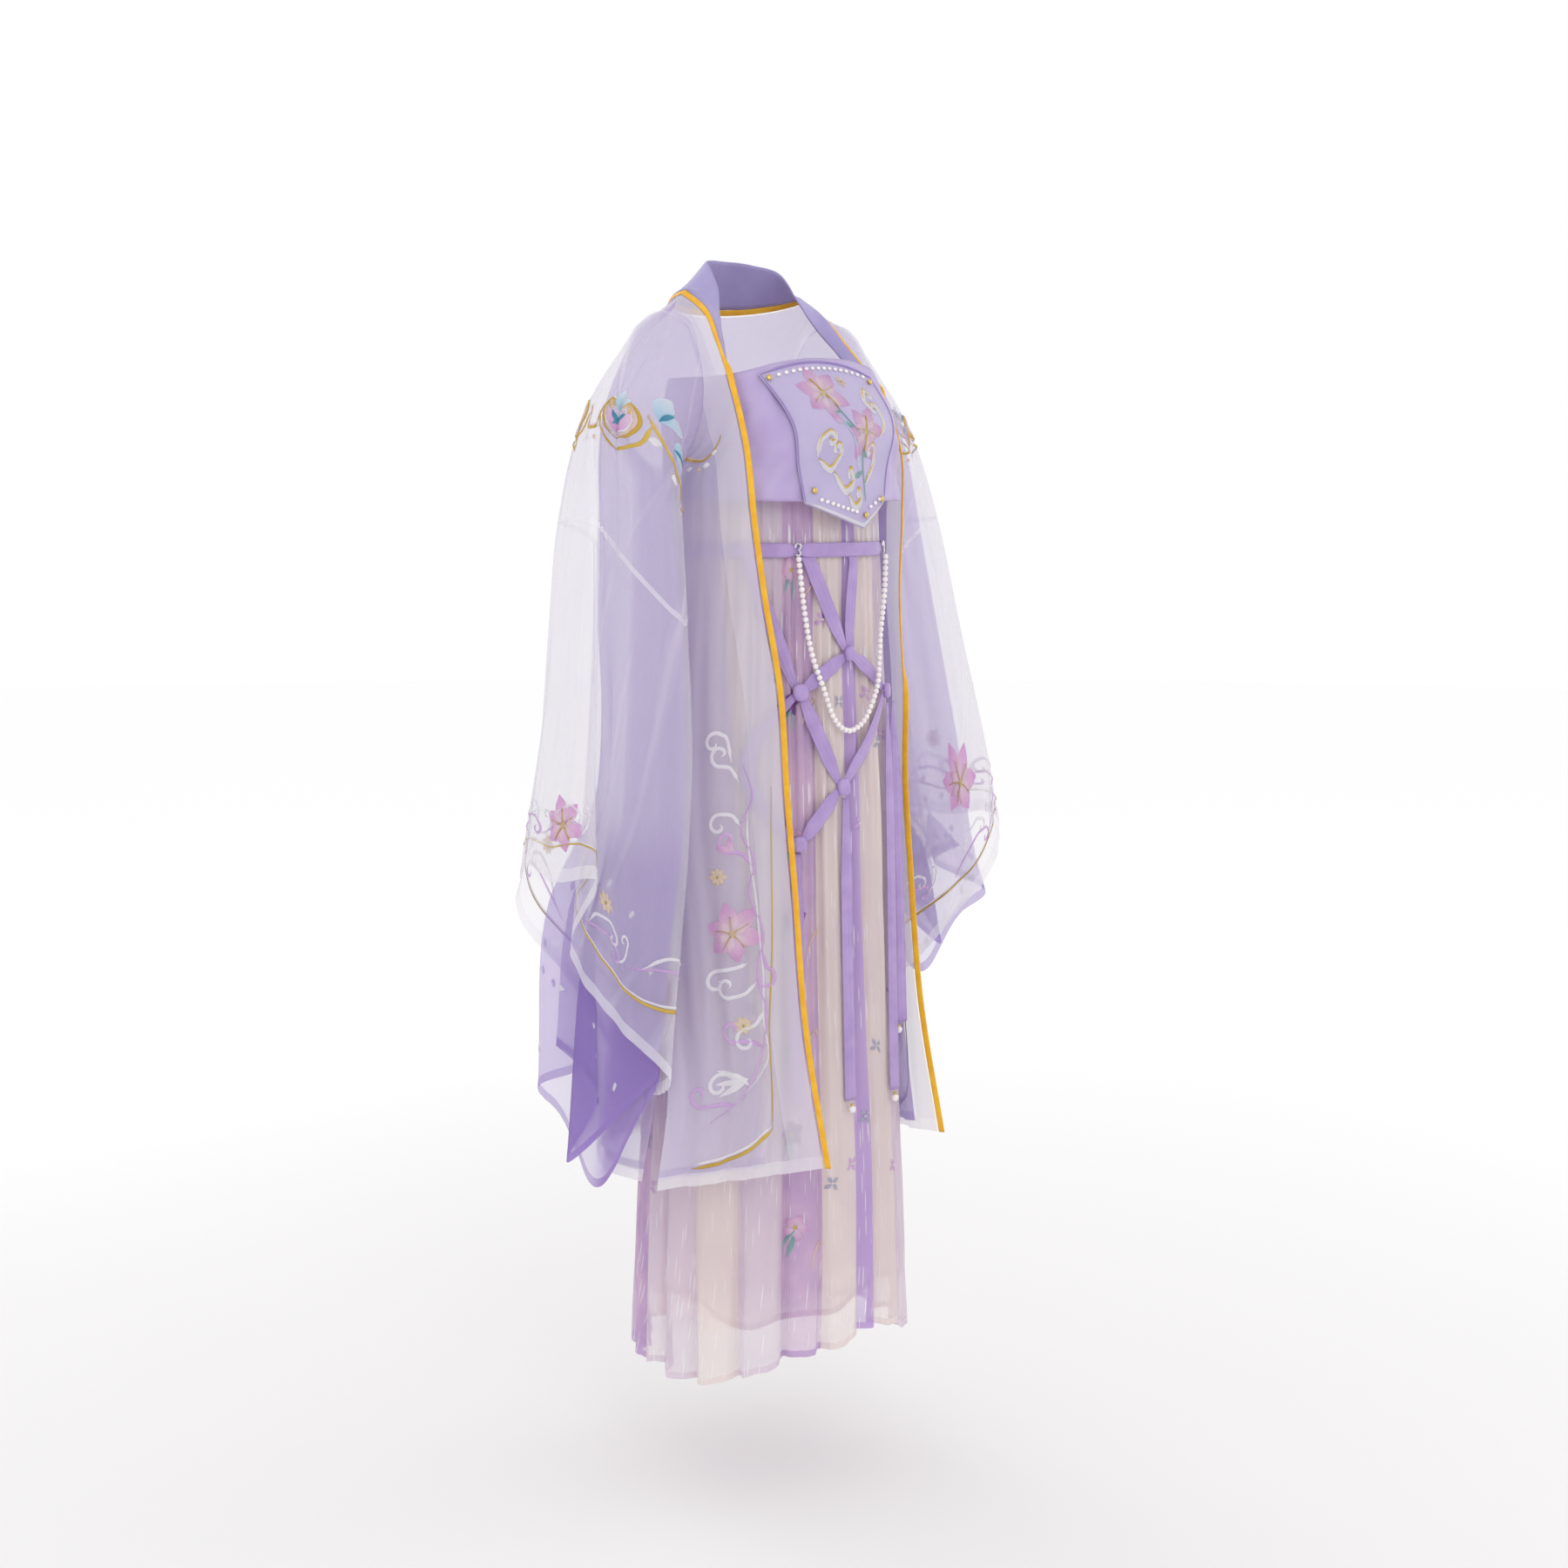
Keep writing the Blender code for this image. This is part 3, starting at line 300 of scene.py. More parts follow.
def gridNormals(grid, closed=False):
    down = np.gradient(grid, axis=0)
    if closed:
        across = (np.roll(grid, -1, axis=1) - np.roll(grid, 1, axis=1)) / 2
    else:
        across = np.gradient(grid, axis=1)
    normals = np.cross(down, across)
    return normals / np.maximum(np.linalg.norm(normals, axis=2, keepdims=True), 1e-12)


def movedOut(grid, distance, closed=False):
    if isinstance(distance, np.ndarray):
        distance = distance[..., None]
    return grid + gridNormals(grid, closed) * distance


def arcs(grid, closed=False):
    # metres across from the first column, and down from the top row
    ring = np.concatenate([grid, grid[:, :1]], axis=1) if closed else grid
    steps = np.linalg.norm(np.diff(ring, axis=1), axis=2)
    across = np.concatenate([np.zeros((len(grid), 1)), np.cumsum(steps, axis=1)], axis=1)
    steps = np.linalg.norm(np.diff(ring, axis=0), axis=2)
    down = np.concatenate([np.zeros((1, ring.shape[1])), np.cumsum(steps, axis=0)], axis=0)
    return across, down


def creases(grid, seed, depth, tall=0.30, wide=0.035, closed=False, waves=14):
    # uneven soft wrinkles that run mostly down the cloth
    chance = np.random.default_rng(seed)
    across, down = arcs(grid, closed)
    across, down = across[:, :grid.shape[1]], down[:, :grid.shape[1]]
    span = across[:, -1:].mean() + 1e-6
    total = np.zeros(across.shape)
    for _ in range(waves):
        width, height = wide * chance.uniform(0.5, 1.8), tall * chance.uniform(0.4, 1.6)
        lean = chance.uniform(-1, 1)
        if closed:
            turns = max(1, round(span / width))
            part = 2 * np.pi * turns * np.arange(grid.shape[1])[None, :] / grid.shape[1]
        else:
            part = 2 * np.pi * across / width
        total += np.sin(part + 2 * np.pi * lean * down / height + chance.uniform(0, 6.28))
    return total / math.sqrt(waves) * depth


def gridMesh(name, grid, closed=False, flip=False):
    # one layer of cloth, with its cut in metres as its UV layers
    rows, columns = grid.shape[:2]
    spans = columns if closed else columns - 1
    r, c = np.meshgrid(np.arange(rows - 1), np.arange(spans), indexing="ij")
    r, c = r.ravel(), c.ravel()
    corners = [(r, c), (r + 1, c), (r + 1, c + 1), (r, c + 1)]
    if flip:
        corners = corners[::-1]
    faces = np.stack([row * columns + column % columns for row, column in corners], axis=1)
    mesh = bpy.data.meshes.new(name)
    mesh.from_pydata(grid.reshape(-1, 3).tolist(), [], faces.tolist())
    across, down = arcs(grid, closed)
    layers = {
        "cut": (across, down),
        "rim": (across[:, -1:] - across, down[-1:] - down),
        "share": (np.broadcast_to(np.linspace(0, 1, across.shape[1]), across.shape),
                  np.broadcast_to(np.linspace(0, 1, rows)[:, None], across.shape)),
    }
    for label, (u, v) in layers.items():
        layer = mesh.uv_layers.new(name=label)
        both = [np.stack([u[row, column], v[row, column]], axis=-1) for row, column in corners]
        layer.data.foreach_set("uv", np.stack(both, axis=1).astype(np.float32).ravel())
    mesh.shade_smooth()
    return mesh


def piece(name, mesh, finish, slotName, *nodes):
    mesh.materials.append(finish)
    made = bpy.data.objects.new(name, mesh)
    bpy.context.scene.collection.objects.link(made)
    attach(made, "root")
    if nodes:
        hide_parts(*nodes)
    return made


def hang(name, grid, finish, slotName, nodes, closed=False, wall=0.0):
    # one sheet of cloth in place of its solids, with the whole size of its cut
    made = piece(name, gridMesh(name, grid, closed), finish, slotName, *nodes)
    if wall:
        solid = made.modifiers.new("wall", "SOLIDIFY")
        solid.thickness, solid.offset, solid.use_even_offset = wall, -1.0, False
    return made


# Camera and light

cameraPlace = {"azimuth": -50.0, "distance": 3.40, "height": 1.28, "turn": 0.6653, "pitch": 6.5,
               "lens": 60.28}


def makeCamera(place):
    a, turn, pitch = (math.radians(place[k]) for k in ("azimuth", "turn", "pitch"))
    heading, right = np.array([-math.sin(a), math.cos(a), 0.0]), np.array([math.cos(a), math.sin(a), 0.0])
    ahead = math.cos(turn) * heading + math.sin(turn) * right
    right = math.cos(turn) * right - math.sin(turn) * heading
    rise = np.array([0.0, 0.0, 1.0])
    forward = math.cos(pitch) * ahead - math.sin(pitch) * rise
    above = math.sin(pitch) * ahead + math.cos(pitch) * rise
    lens = bpy.data.cameras.new("camera")
    lens.lens, lens.sensor_width, lens.sensor_fit = place["lens"], 36.0, "HORIZONTAL"
    lens.clip_start, lens.clip_end = 0.05, 200.0
    camera = bpy.data.objects.new("camera", lens)
    turnOf = Matrix([right, above, -forward]).transposed().to_4x4()
    spot = Vector((math.sin(a), -math.cos(a), 0.0)) * place["distance"]
    spot.z = place["height"] - originHeight
    camera.matrix_world = Matrix.Translation(spot) @ turnOf
    bpy.context.scene.collection.objects.link(camera)
    bpy.context.scene.camera = camera


makeCamera(cameraPlace)

studio = {
    "sky": (1.0, 1.0, 1.0), "skyStrength": 1.0,
    # the floor is painted darker near the robe, painted shade, and near white far off where it meets the sky
    "floor": (0.83, 0.82, 0.82), "farFloor": (0.99, 0.99, 0.99), "floorShadeFade": (0.6, 4.5),
    "floorRadius": 14.0, "floorSides": 96, "aim": (0.0, 0.0, -0.6), "bounces": 40,
    "lamps": (
        # name, place, size, power
        ("key", (-2.6, -3.2, 1.6), 2.2, 26.0),
        ("side", (3.0, -1.4, 0.8), 2.2, 9.0),
        ("back", (0.8, 3.2, 1.4), 2.4, 16.0),
    ),
}


def makeStudio(place):
    scene = bpy.context.scene
    scene.view_settings.view_transform = "Standard"
    scene.cycles.transparent_max_bounces = place["bounces"]
    sky = bpy.data.worlds.new("studio")
    sky.use_nodes = True
    scene.world = sky
    shade = sky.node_tree.nodes["Background"]
    shade.inputs["Color"].default_value = (*place["sky"], 1.0)
    shade.inputs["Strength"].default_value = place["skyStrength"]
    aim = Vector(place["aim"])
    for name, spot, size, power in place["lamps"]:
        lamp = bpy.data.lights.new(name, "AREA")
        lamp.shape, lamp.size, lamp.energy = "DISK", size, power
        item = bpy.data.objects.new(name, lamp)
        item.location = spot
        item.rotation_mode = "QUATERNION"
        item.rotation_quaternion = (aim - Vector(spot)).to_track_quat("-Z", "Y")
        scene.collection.objects.link(item)
    far, sides = place["floorRadius"], place["floorSides"]
    angles = np.linspace(0, 2 * math.pi, sides + 1)[:-1]
    rings = [(far * share * math.cos(a), far * share * math.sin(a), -originHeight)
             for share in (0.1, 1.0) for a in angles]
    mesh = bpy.data.meshes.new("floor")
    faces = [(sides + i, sides + (i + 1) % sides, (i + 1) % sides, i) for i in range(sides)]
    mesh.from_pydata(rings, [], [tuple(range(sides))[::-1]] + faces)
    ground = Finish("studioFloor", {"Roughness": 0.9, "Specular IOR Level": 0.1})
    spot = ground.place().stretched((1.0, 1.0, 0.0))
    reach = spot.node("ShaderNodeVectorMath", {"operation": "LENGTH"}, {0: spot}, 1)
    # floor colour by distance from the middle: painted shade near the robe, painted light toward the horizon
    ground.feed("Base Color", reach.ramp(*place["floorShadeFade"]).blend(place["floor"], place["farFloor"]))
    ground.bump(ground.place().noise(60.0, 2.0), 0.0005, 0.1)
    mesh.materials.append(ground.material)
    floor = bpy.data.objects.new("studioFloor", mesh)
    scene.collection.objects.link(floor)


makeStudio(studio)
print("camera and studio done")


# Skirt column, which the net, belt and strand lie on

skirtSections = (
    # height, half width, half depth, centre y
    (0.16, 0.186, 0.172, -0.027),
    (0.42, 0.175, 0.160, -0.029),
    (0.65, 0.165, 0.145, -0.034),
    (0.90, 0.155, 0.130, -0.040),
    (1.10, 0.146, 0.117, -0.043),
    (1.20, 0.1410, 0.1125, -0.0445),
    (1.285, 0.137, 0.108, -0.045),
)
skirtPower = 2.2


def superellipse(a, b, centreY, angle, power):
    # plan point at degrees from the front middle, positive to the wearer's left
    s, c = math.sin(math.radians(angle)), math.cos(math.radians(angle))
    e = 2 / power
    return a * math.copysign(abs(s) ** e, s), centreY - b * math.copysign(abs(c) ** e, c)


def columnPoint(angle, height, stand=0.0):
    a, b, centreY = tableAt(skirtSections, height)
    x, y = superellipse(a + stand, b + stand, centreY, angle, skirtPower)
    return world(x, y, height)


# Pearl strand and its hooks

strandLook = {
    "radius": 0.0037, "pitch": 0.0075, "step": 0.008,
    "route": (
        # angle, height, stand-off from the pleats
        (-34.0, 1.1890, 0.0085),
        (-31.0, 1.1300, 0.0085),
        (-27.0, 1.0750, 0.0085),
        (-21.0, 1.0300, 0.0100),
        (-14.5, 0.9900, 0.0075),
        (-6.0, 0.9740, 0.0070),
        (2.0, 0.9840, 0.0085),
        (8.5, 1.0110, 0.0110),
        (13.5, 1.0350, 0.0110),
        (20.0, 1.0920, 0.0085),
        (29.0, 1.1500, 0.0085),
        (33.5, 1.1890, 0.0085),
    ),
}
pearlLook = {"colour": (0.86, 0.83, 0.80), "shade": (0.80, 0.74, 0.78), "roughness": 0.22}
silverLook = {"colour": (0.78, 0.78, 0.80), "roughness": 0.22}


def pearlFinish(look):
    made = Finish("pearlNacre", {"Roughness": look["roughness"], "Coat Weight": 0.6, "Coat Roughness": 0.08,
                                 "Subsurface Weight": 0.15, "Subsurface Scale": 0.002})
    cloud = made.place().noise(220.0, 2.0)
    made.feed("Base Color", cloud.ramp(0.35, 0.65).blend(look["colour"], look["shade"]))
    made.feed("Roughness", look["roughness"] + (cloud - 0.5) * 0.1)
    return made.material


def metalFinish(name, look):
    made = Finish(name, {"Metallic": 1.0})
    cloud = made.place().noise(400.0, 3.0)
    made.feed("Base Color", cloud.blend(look["colour"], tuple(c * 0.85 for c in look["colour"])))
    made.feed("Roughness", look["roughness"] + (cloud - 0.5) * 0.2)
    made.bump(cloud, 0.0002, 0.2)
    return made.material


nacre = pearlFinish(pearlLook)
silver = metalFinish("silverMetal", silverLook)


def smoothPath(rows, count):
    return [hermite(range(len(rows)), rows, key) for key in np.linspace(0, len(rows) - 1, count)]


def resampled(points, count=0, pitch=1.0):
    # places at even steps along a line: as many as asked for, or one at each pitch
    points = np.array(points)
    reach = np.concatenate([[0], np.cumsum(np.linalg.norm(np.diff(points, axis=0), axis=1))])
    places = np.linspace(0, reach[-1], count or max(2, round(reach[-1] / pitch) + 1))
    return np.stack([np.interp(places, reach, points[:, i]) for i in range(3)], axis=1)


def ball(radius, segments=14, rings=9):
    # points and faces of a small ball with its holes on Z
    points, faces = [], []
    for i in range(rings + 1):
        for j in range(segments):
            a, b = math.pi * i / rings, 2 * math.pi * j / segments
            points.append((radius * math.sin(a) * math.cos(b), radius * math.sin(a) * math.sin(b),
                           radius * math.cos(a)))
    for i in range(rings):
        for j in range(segments):
            k = (j + 1) % segments
            faces.append((i * segments + j, (i + 1) * segments + j, (i + 1) * segments + k, i * segments + k))
    return np.array(points), faces


def joinedMesh(name, parts, faces):
    # one mesh of several shapes that have the same faces
    size = len(parts[0])
    every = [tuple(v + n * size for v in face) for n in range(len(parts)) for face in faces]
    mesh = bpy.data.meshes.new(name)
    mesh.from_pydata(np.concatenate(parts).tolist(), [], every)
    mesh.validate()
    mesh.shade_smooth()
    return mesh


def beadMesh(name, centres, radius, stretch=(1.0, 1.0, 1.0), headings=None, segments=14, rings=9):
    base, faces = ball(radius, segments, rings)
    base = base * np.array(stretch)
    parts = []
    for n, centre in enumerate(centres):
        local = base
        if headings is not None:
            turn = Vector((0, 0, 1)).rotation_difference(Vector(headings[n])).to_matrix()
            local = base @ np.array(turn).T
        parts.append(local + centre)
    return joinedMesh(name, parts, faces)


def makeStrand(look):
    line = [columnPoint(*row) for row in smoothPath(look["route"], 120)]
    centres = resampled(line, pitch=look["pitch"])
    mesh = beadMesh("pearlStrand", centres, look["radius"])
    made = piece("pearlStrand", mesh, nacre, "pearl", "pearl_strand")


makeStrand(strandLook)
print("pearl strand done")


# Robe body: back and two fronts, with the lining inside them

robe = {
    "neckHalf": 0.120, "neckPoint": 1.5156, "shoulderPoint": 1.4930,
    "edgeHem": 0.4405, "sideHem": 0.4151, "backHem": 0.4150,
    "armPlane": 0.168, "armCentre": (0.008, 1.395), "armRadii": (0.070, 0.098),
    "liningInset": 0.006, "liningShort": 0.012, "liningTop": 0.0005,
    "liningReach": {"right": (0.0, 0.66), "left": (0.0, 0.80)},
    "seamGap": 0.0006, "shoulderGap": 0.0011, "shoulderFade": 0.10,
    "neckCentre": 0.0175, "neckDepth": 0.0705, "neckDip": 0.0186, "backSeam": 0.20, "backBlend": 0.13,
    "backRound": 0.85, "bowCentre": 0.03, "closeUp": (0.05, 0.12),
}
frontEdge = (
    # height, x from the middle, y
    (1.5156, 0.120, 0.0175),
    (1.4985, 0.1225, -0.0130),
    (1.4574, 0.135, -0.0510),
    (1.4000, 0.152, -0.0885),
    (1.3300, 0.159, -0.1155),
    (1.2350, 0.153, -0.1240),
    (1.1467, 0.141, -0.1295),
    (1.0300, 0.129, -0.1445),
    (0.9000, 0.122, -0.1497),
    (0.7881, 0.120, -0.1600),
    (0.6109, 0.120, -0.1780),
    (0.4405, 0.120, -0.2134),
)
sideSeam = (
    # height, x and y of the front's side, x and y of the back's side
    (1.297, 0.168, 0.008, 0.168, 0.008),
    (1.235, 0.172, 0.006, 0.172, 0.006),
    (1.050, 0.186, 0.002, 0.186, 0.002),
    (0.850, 0.204, -0.012, 0.204, -0.012),
    (0.700, 0.218, -0.030, 0.218, -0.030),
    (0.600, 0.229, -0.047, 0.229, -0.046),
    (0.540, 0.238, -0.060, 0.231, -0.038),
    (0.415, 0.260, -0.061, 0.239, -0.018),
)
backLine = (
    # height, y
    (1.497, 0.088),
    (1.420, 0.107),
    (1.300, 0.116),
    (1.100, 0.119),
    (0.850, 0.130),
    (0.600, 0.150),
    (0.415, 0.168),
)
frontBow = (
    # height, right bow, left bow
    (1.50, 0.0, 0.0),
    (1.42, 0.003, 0.003),
    (1.30, 0.004, 0.004),
    (1.18, 0.008, 0.008),
    (1.05, 0.018, 0.014),
    (0.80, 0.016, 0.006),
    (0.60, 0.010, -0.016),
    (0.42, 0.004, -0.030),
)
foldHem = 0.42  # height where the folds have their whole depth
frontFolds = (
    # across, width, depth at the hem, height where it starts
    (0.14, 0.060, 0.012, 1.36),
    (0.42, 0.050, 0.007, 1.10),
    (0.70, 0.045, 0.006, 0.95),
)
backFolds = (
    (-0.60, 0.09, 0.012, 1.30),
    (-0.20, 0.08, 0.010, 1.10),
    (0.20, 0.09, 0.012, 1.20),
    (0.60, 0.08, 0.010, 1.30),
)
organzaLook = {
    "colour": (0.83, 0.80, 0.86), "shade": (0.79, 0.75, 0.83), "bandColour": (0.90, 0.88, 0.91),
    "glow": 0.30, "glowColour": (0.90, 0.88, 0.92),
    "alpha": 0.37, "patchy": 0.08, "band": 0.016, "bandAlpha": 0.66, "facing": 0.040, "facingAlpha": 0.52,
    "roughness": 0.45, "sheen": 0.25, "cloudScale": 9.0, "pitch": 0.0011,
}
liningLook = {
    "colour": (0.45, 0.34, 0.67), "shade": (0.50, 0.39, 0.71), "bandColour": (0.33, 0.22, 0.56),
    "glow": 0.35, "glowColour": (0.62, 0.50, 0.86),
    "alpha": 0.40, "patchy": 0.10, "band": 0.0115, "bandAlpha": 0.68,
    "roughness": 0.5, "sheen": 0.2, "cloudScale": 7.0, "pitch": 0.0009,
}
# the front and sleeve organza carry whiter vertical streaks, painted fold highlights
frontOrganza = sheerFinish("frontOrganza", dict(organzaLook, alpha=0.50, highlightStreaks=0.24, facingAlpha=0.66))
backOrganza = sheerFinish("backOrganza", dict(organzaLook, facing=0.0))
sleeveOrganza = sheerFinish("sleeveOrganza", dict(organzaLook, facing=0.0, seam=0.42, seamHalf=0.0042,
                                                  highlightStreaks=0.14))
lining = sheerFinish("lavenderLining", liningLook)
# on the left front and sleeve linings the bunch zone turns darker purple, partly for extra layers and partly
# painted shade in the folds
frontLining = {
    "right": sheerFinish("rightLining", dict(
        liningLook, alpha=0.48, bunch=(-1.0, 0.55, -1.0), bunchAlpha=0.20, bunchColour=(0.56, 0.47, 0.72))),
    "left": sheerFinish("leftLining", dict(
        liningLook, alpha=0.55, bunch=(-1.0, 0.40, -1.0), bunchAlpha=0.20)),
}
sleeveLining = sheerFinish("sleeveLining", dict(liningLook, bunch=(0.30, 0.74, 0.62), bunchAlpha=0.42))


mirrorX = np.array([-1.0, 1.0, 1.0])


def swapSide(grid, side):
    return grid if side < 0 else (grid * mirrorX)[:, ::-1]


def armholeY(height, ringSide):
    reach = max(0.0, 1 - ((height - robe["armCentre"][1]) / robe["armRadii"][1]) ** 2)
    return robe["armCentre"][0] + ringSide * robe["armRadii"][0] * math.sqrt(reach)


def sidePoint(height, ringSide):
    if height >= sideSeam[0][0]:
        return robe["armPlane"], armholeY(height, ringSide)
    xFront, yFront, xBack, yBack = tableAt(sideSeam, height)
    return (xFront, yFront - robe["seamGap"]) if ringSide < 0 else (xBack, yBack + robe["seamGap"])


def foldDepth(folds, across, height):
    total = 0.0
    for place, width, depth, top in folds:
        grown = min(max((top - height) / (top - foldHem), 0.0), 1.0)
        total += depth * grown * math.exp(-(((across - place) / width) ** 2))
    return total


def frontGrid(side, columns, rows, inset=0.0, short=0.0):
    # one front, laid out as the right one: side edge to front edge, shoulder to hem
    grid = []
    for down in rows:
        edgeHeight = robe["neckPoint"] + (robe["edgeHem"] + short - robe["neckPoint"]) * down
        sideHeight = robe["shoulderPoint"] + (robe["sideHem"] + short - robe["shoulderPoint"]) * down
        edgeX, edgeY = tableAt(frontEdge, edgeHeight)
        sideX, sideY = sidePoint(sideHeight, -1)
        start, end = np.array([-sideX, sideY, sideHeight]), np.array([-edgeX, edgeY, edgeHeight])
        middle = (start + end) / 2
        outward = np.array([middle[0], middle[1] + robe["bowCentre"], 0.0])
        outward /= np.linalg.norm(outward)
        bow = tableAt(frontBow, edgeHeight)[0 if side < 0 else 1]
        control = middle + outward * 2 * bow
        line = []
        for across in columns:
            point = (1 - across) ** 2 * start + 2 * across * (1 - across) * control + across**2 * end
            ease = math.sin(math.pi * min(max(across, 0.0), 1.0)) ** 0.5
            point = point - outward * ease * foldDepth(frontFolds, across, point[2])
            point[1] -= robe["shoulderGap"] * max(0.0, 1 - down / robe["shoulderFade"])
            line.append(point - np.array([0.0, 0.0, originHeight]))
        grid.append(line)
    grid = np.array(grid)
    return movedOut(grid, -inset * seamFade(grid)) if inset else grid


def seamFade(grid):
    # the lining closes up to the organza at the shoulder and neck seams
    down = np.linalg.norm(np.diff(grid, axis=0, prepend=grid[:1]), axis=2).cumsum(axis=0)
    reach, least = robe["closeUp"]
    return np.clip(down / reach, least, 1.0)


def neckline(turn):
    a = math.radians(turn)
    return np.array([robe["neckHalf"] * math.sin(a), robe["neckCentre"] + robe["neckDepth"] * math.cos(a),
                     robe["neckPoint"] - robe["neckDip"] * math.cos(a)])


def backTop(across):
    seam = robe["backSeam"]
    if abs(across) <= 1 - seam:
        return neckline(90 * across / (1 - seam))
    t = (abs(across) - (1 - seam)) / seam
    start = np.array([robe["neckHalf"], robe["neckCentre"], robe["neckPoint"]])
    point = start + (np.array([robe["armPlane"], robe["armCentre"][0], robe["shoulderPoint"]]) - start) * t
    point[0] *= math.copysign(1.0, across)
    return point


def backSection(across, height):
    sideX, sideY = sidePoint(height, 1)
    backY = float(tableAt(backLine, height)[0])
    turn = math.radians(90 * across)
    x = sideX * math.copysign(abs(math.sin(turn)) ** robe["backRound"], across)
    y = sideY + (backY - sideY) * max(math.cos(turn), 0.0) ** robe["backRound"]
    y -= max(math.cos(turn), 0.0) ** 0.5 * foldDepth(backFolds, across, height)
    return np.array([x, y, height])


def backGrid(columns, rows, inset=0.0, short=0.0):
    grid = []
    for down in rows:
        line = []
        for across in columns:
            top = backTop(across)
            height = top[2] + (robe["backHem"] + short - top[2]) * down
            fade = max(0.0, 1 - (top[2] - height) / robe["backBlend"]) ** 2
            point = backSection(across, height) + (top - backSection(across, top[2])) * fade
            gap = robe["shoulderGap"] * max(0.0, 1 - down / robe["shoulderFade"])
            line.append([point[0], point[1] + gap, height - originHeight])
        grid.append(line)
    grid = np.array(grid)
    return movedOut(grid, -inset * seamFade(grid)) if inset else grid


def easedDown(rows, start=0.05):
    # share of the crease depth at each row: little at the top seam, all of it lower down
    t = np.linspace(0, 1, rows)[:, None]
    return start + (1 - start) * np.clip(t / 0.25, 0, 1)


def settled(grid, seed, depth, tall, wide, closed=False, edge=0.12):
    # creases that die out at the seams on both sides
    field = creases(grid, seed, depth, tall, wide, closed) * easedDown(len(grid))
    if not closed:
        t = np.linspace(0, 1, grid.shape[1])[None, :]
        field = field * np.clip(np.minimum(t, 1 - t) / edge, 0.12, 1.0)
    return movedOut(grid, field, closed)


sheets = {}
robeSheets = {
    # rows, columns, crease depth, crease length and width
    "front": (240, 44, 0.0015, 0.40, 0.034), "frontLining": (220, 32, 0.0012, 0.30, 0.026),
    "back": (220, 150, 0.0020, 0.45, 0.045), "backLining": (200, 130, 0.0014, 0.36, 0.040),
}


def worn(grid, kind, seed):
    rows, columns, *crease = robeSheets[kind]
    return settled(finer(grid, rows, columns), seed, *crease)


def makeRobeBody():
    rows = np.concatenate([np.linspace(0, 0.12, 9)[:-1], np.linspace(0.12, 1.0, 45)])
    liningRows = np.concatenate([[robe["liningTop"]], rows[1:]])
    inside = robe["liningInset"], robe["liningShort"]
    for side, label in ((-1, "right"), (1, "left")):
        grid = swapSide(worn(frontGrid(side, np.linspace(0.0, 0.995, 25), rows), "front", 3 + side), side)
        sheets["robeFront_" + label] = grid
        made = hang("robeFront_" + label, grid, frontOrganza, "organza", ["robe_front_" + label])
        if side > 0:
            turnRim(made.data)
        inner = frontGrid(side, np.linspace(*robe["liningReach"][label], 18), liningRows, *inside)
        inner = swapSide(worn(inner, "frontLining", 13 + side), side)
        hang("liningFront_" + label, inner, frontLining[label], "lining", ["lining_front_" + label])
    sheets["robeBack"] = worn(backGrid(np.linspace(1.0, -1.0, 57), rows), "back", 21)
    hang("robeBack", sheets["robeBack"], backOrganza, "organza", ["robe_back"])
    inner = worn(backGrid(np.linspace(0.992, -0.992, 49), liningRows, *inside), "backLining", 27)
    hang("liningBack", inner, lining, "lining", ["lining_back"])


def turnRim(mesh):
    # the left front's bound edge is its first column, so its rim is measured from there
    cut, rim = (np.zeros(2 * len(mesh.loops), np.float32) for _ in range(2))
    mesh.uv_layers["cut"].data.foreach_get("uv", cut)
    mesh.uv_layers["rim"].data.foreach_get("uv", rim)
    rim[0::2] = cut[0::2]
    mesh.uv_layers["rim"].data.foreach_set("uv", rim)


makeRobeBody()
print("robe body and lining done")


# Gold binding and collar

binding = {"width": 0.008, "wall": 0.0026, "collarEnd": 1.420, "sides": 16, "stand": 0.0012,
           "round": 0.7, "lean": 0.8, "heading": (0.33, -0.94, 0.0),
           "leftRoll": (-0.30, -0.95, 0.0), "rollTop": 1.30, "rollFade": 0.20,
           "leftUnder": (-0.77, 0.64, 0.0), "underTop": 1.42, "underFoot": 1.0, "underNarrow": 0.55,
           "collarArch": 0.24, "collarWall": 0.0016}
collarTopRows = (
    # x, y, height from the middle back to where the band dies out
    (0.000, 0.052, 1.565),
    (0.045, 0.038, 1.562),
    (0.068, 0.012, 1.550),
    (0.075, -0.006, 1.522),
    (0.092, -0.022, 1.487),
    (0.112, -0.046, 1.450),
    (0.1235, -0.062, 1.425),
)
goldLook = {"colour": (0.90, 0.50, 0.015), "shade": (0.82, 0.40, 0.008), "roughness": 0.42, "sheen": 0.15,
            "pitch": 0.0009, "cloudScale": 60.0, "bump": 0.6, "specular": 0.5}
collarLook = {"colour": (0.40, 0.35, 0.62), "shade": (0.36, 0.31, 0.57), "roughness": 0.55, "sheen": 0.3,
              "pitch": 0.0008, "cloudScale": 24.0, "bump": 0.5}
goldCloth = clothFinish("goldBinding", goldLook)
collarCloth = clothFinish("collarCloth", collarLook)


def edgePath(samplesBack, samplesFront):
    path = [neckline(a) for a in np.linspace(0.0, -90.0, samplesBack)]
    for down in samplesFront[1:]:
        height = robe["neckPoint"] + (robe["edgeHem"] - robe["neckPoint"]) * down
        x, y = tableAt(frontEdge, height)
        path.append(np.array([-x, y, height]))
    return np.array(path)


def collarTop(samples):
    rows = [(-x, y, height) for x, y, height in collarTopRows]
    return np.array(smoothPath(rows, samples))


def collarLow(samples):
    path = edgePath(24, np.linspace(0.0, 0.2, 30))
    return resampled(path[path[:, 2] >= binding["collarEnd"]], samples)


def bindingHeading(point, upper):
    heading = upper - point
    heading = heading / max(np.linalg.norm(heading), 1e-9) + np.array([0.0, 0.0, binding["lean"]])
    return heading / np.linalg.norm(heading)


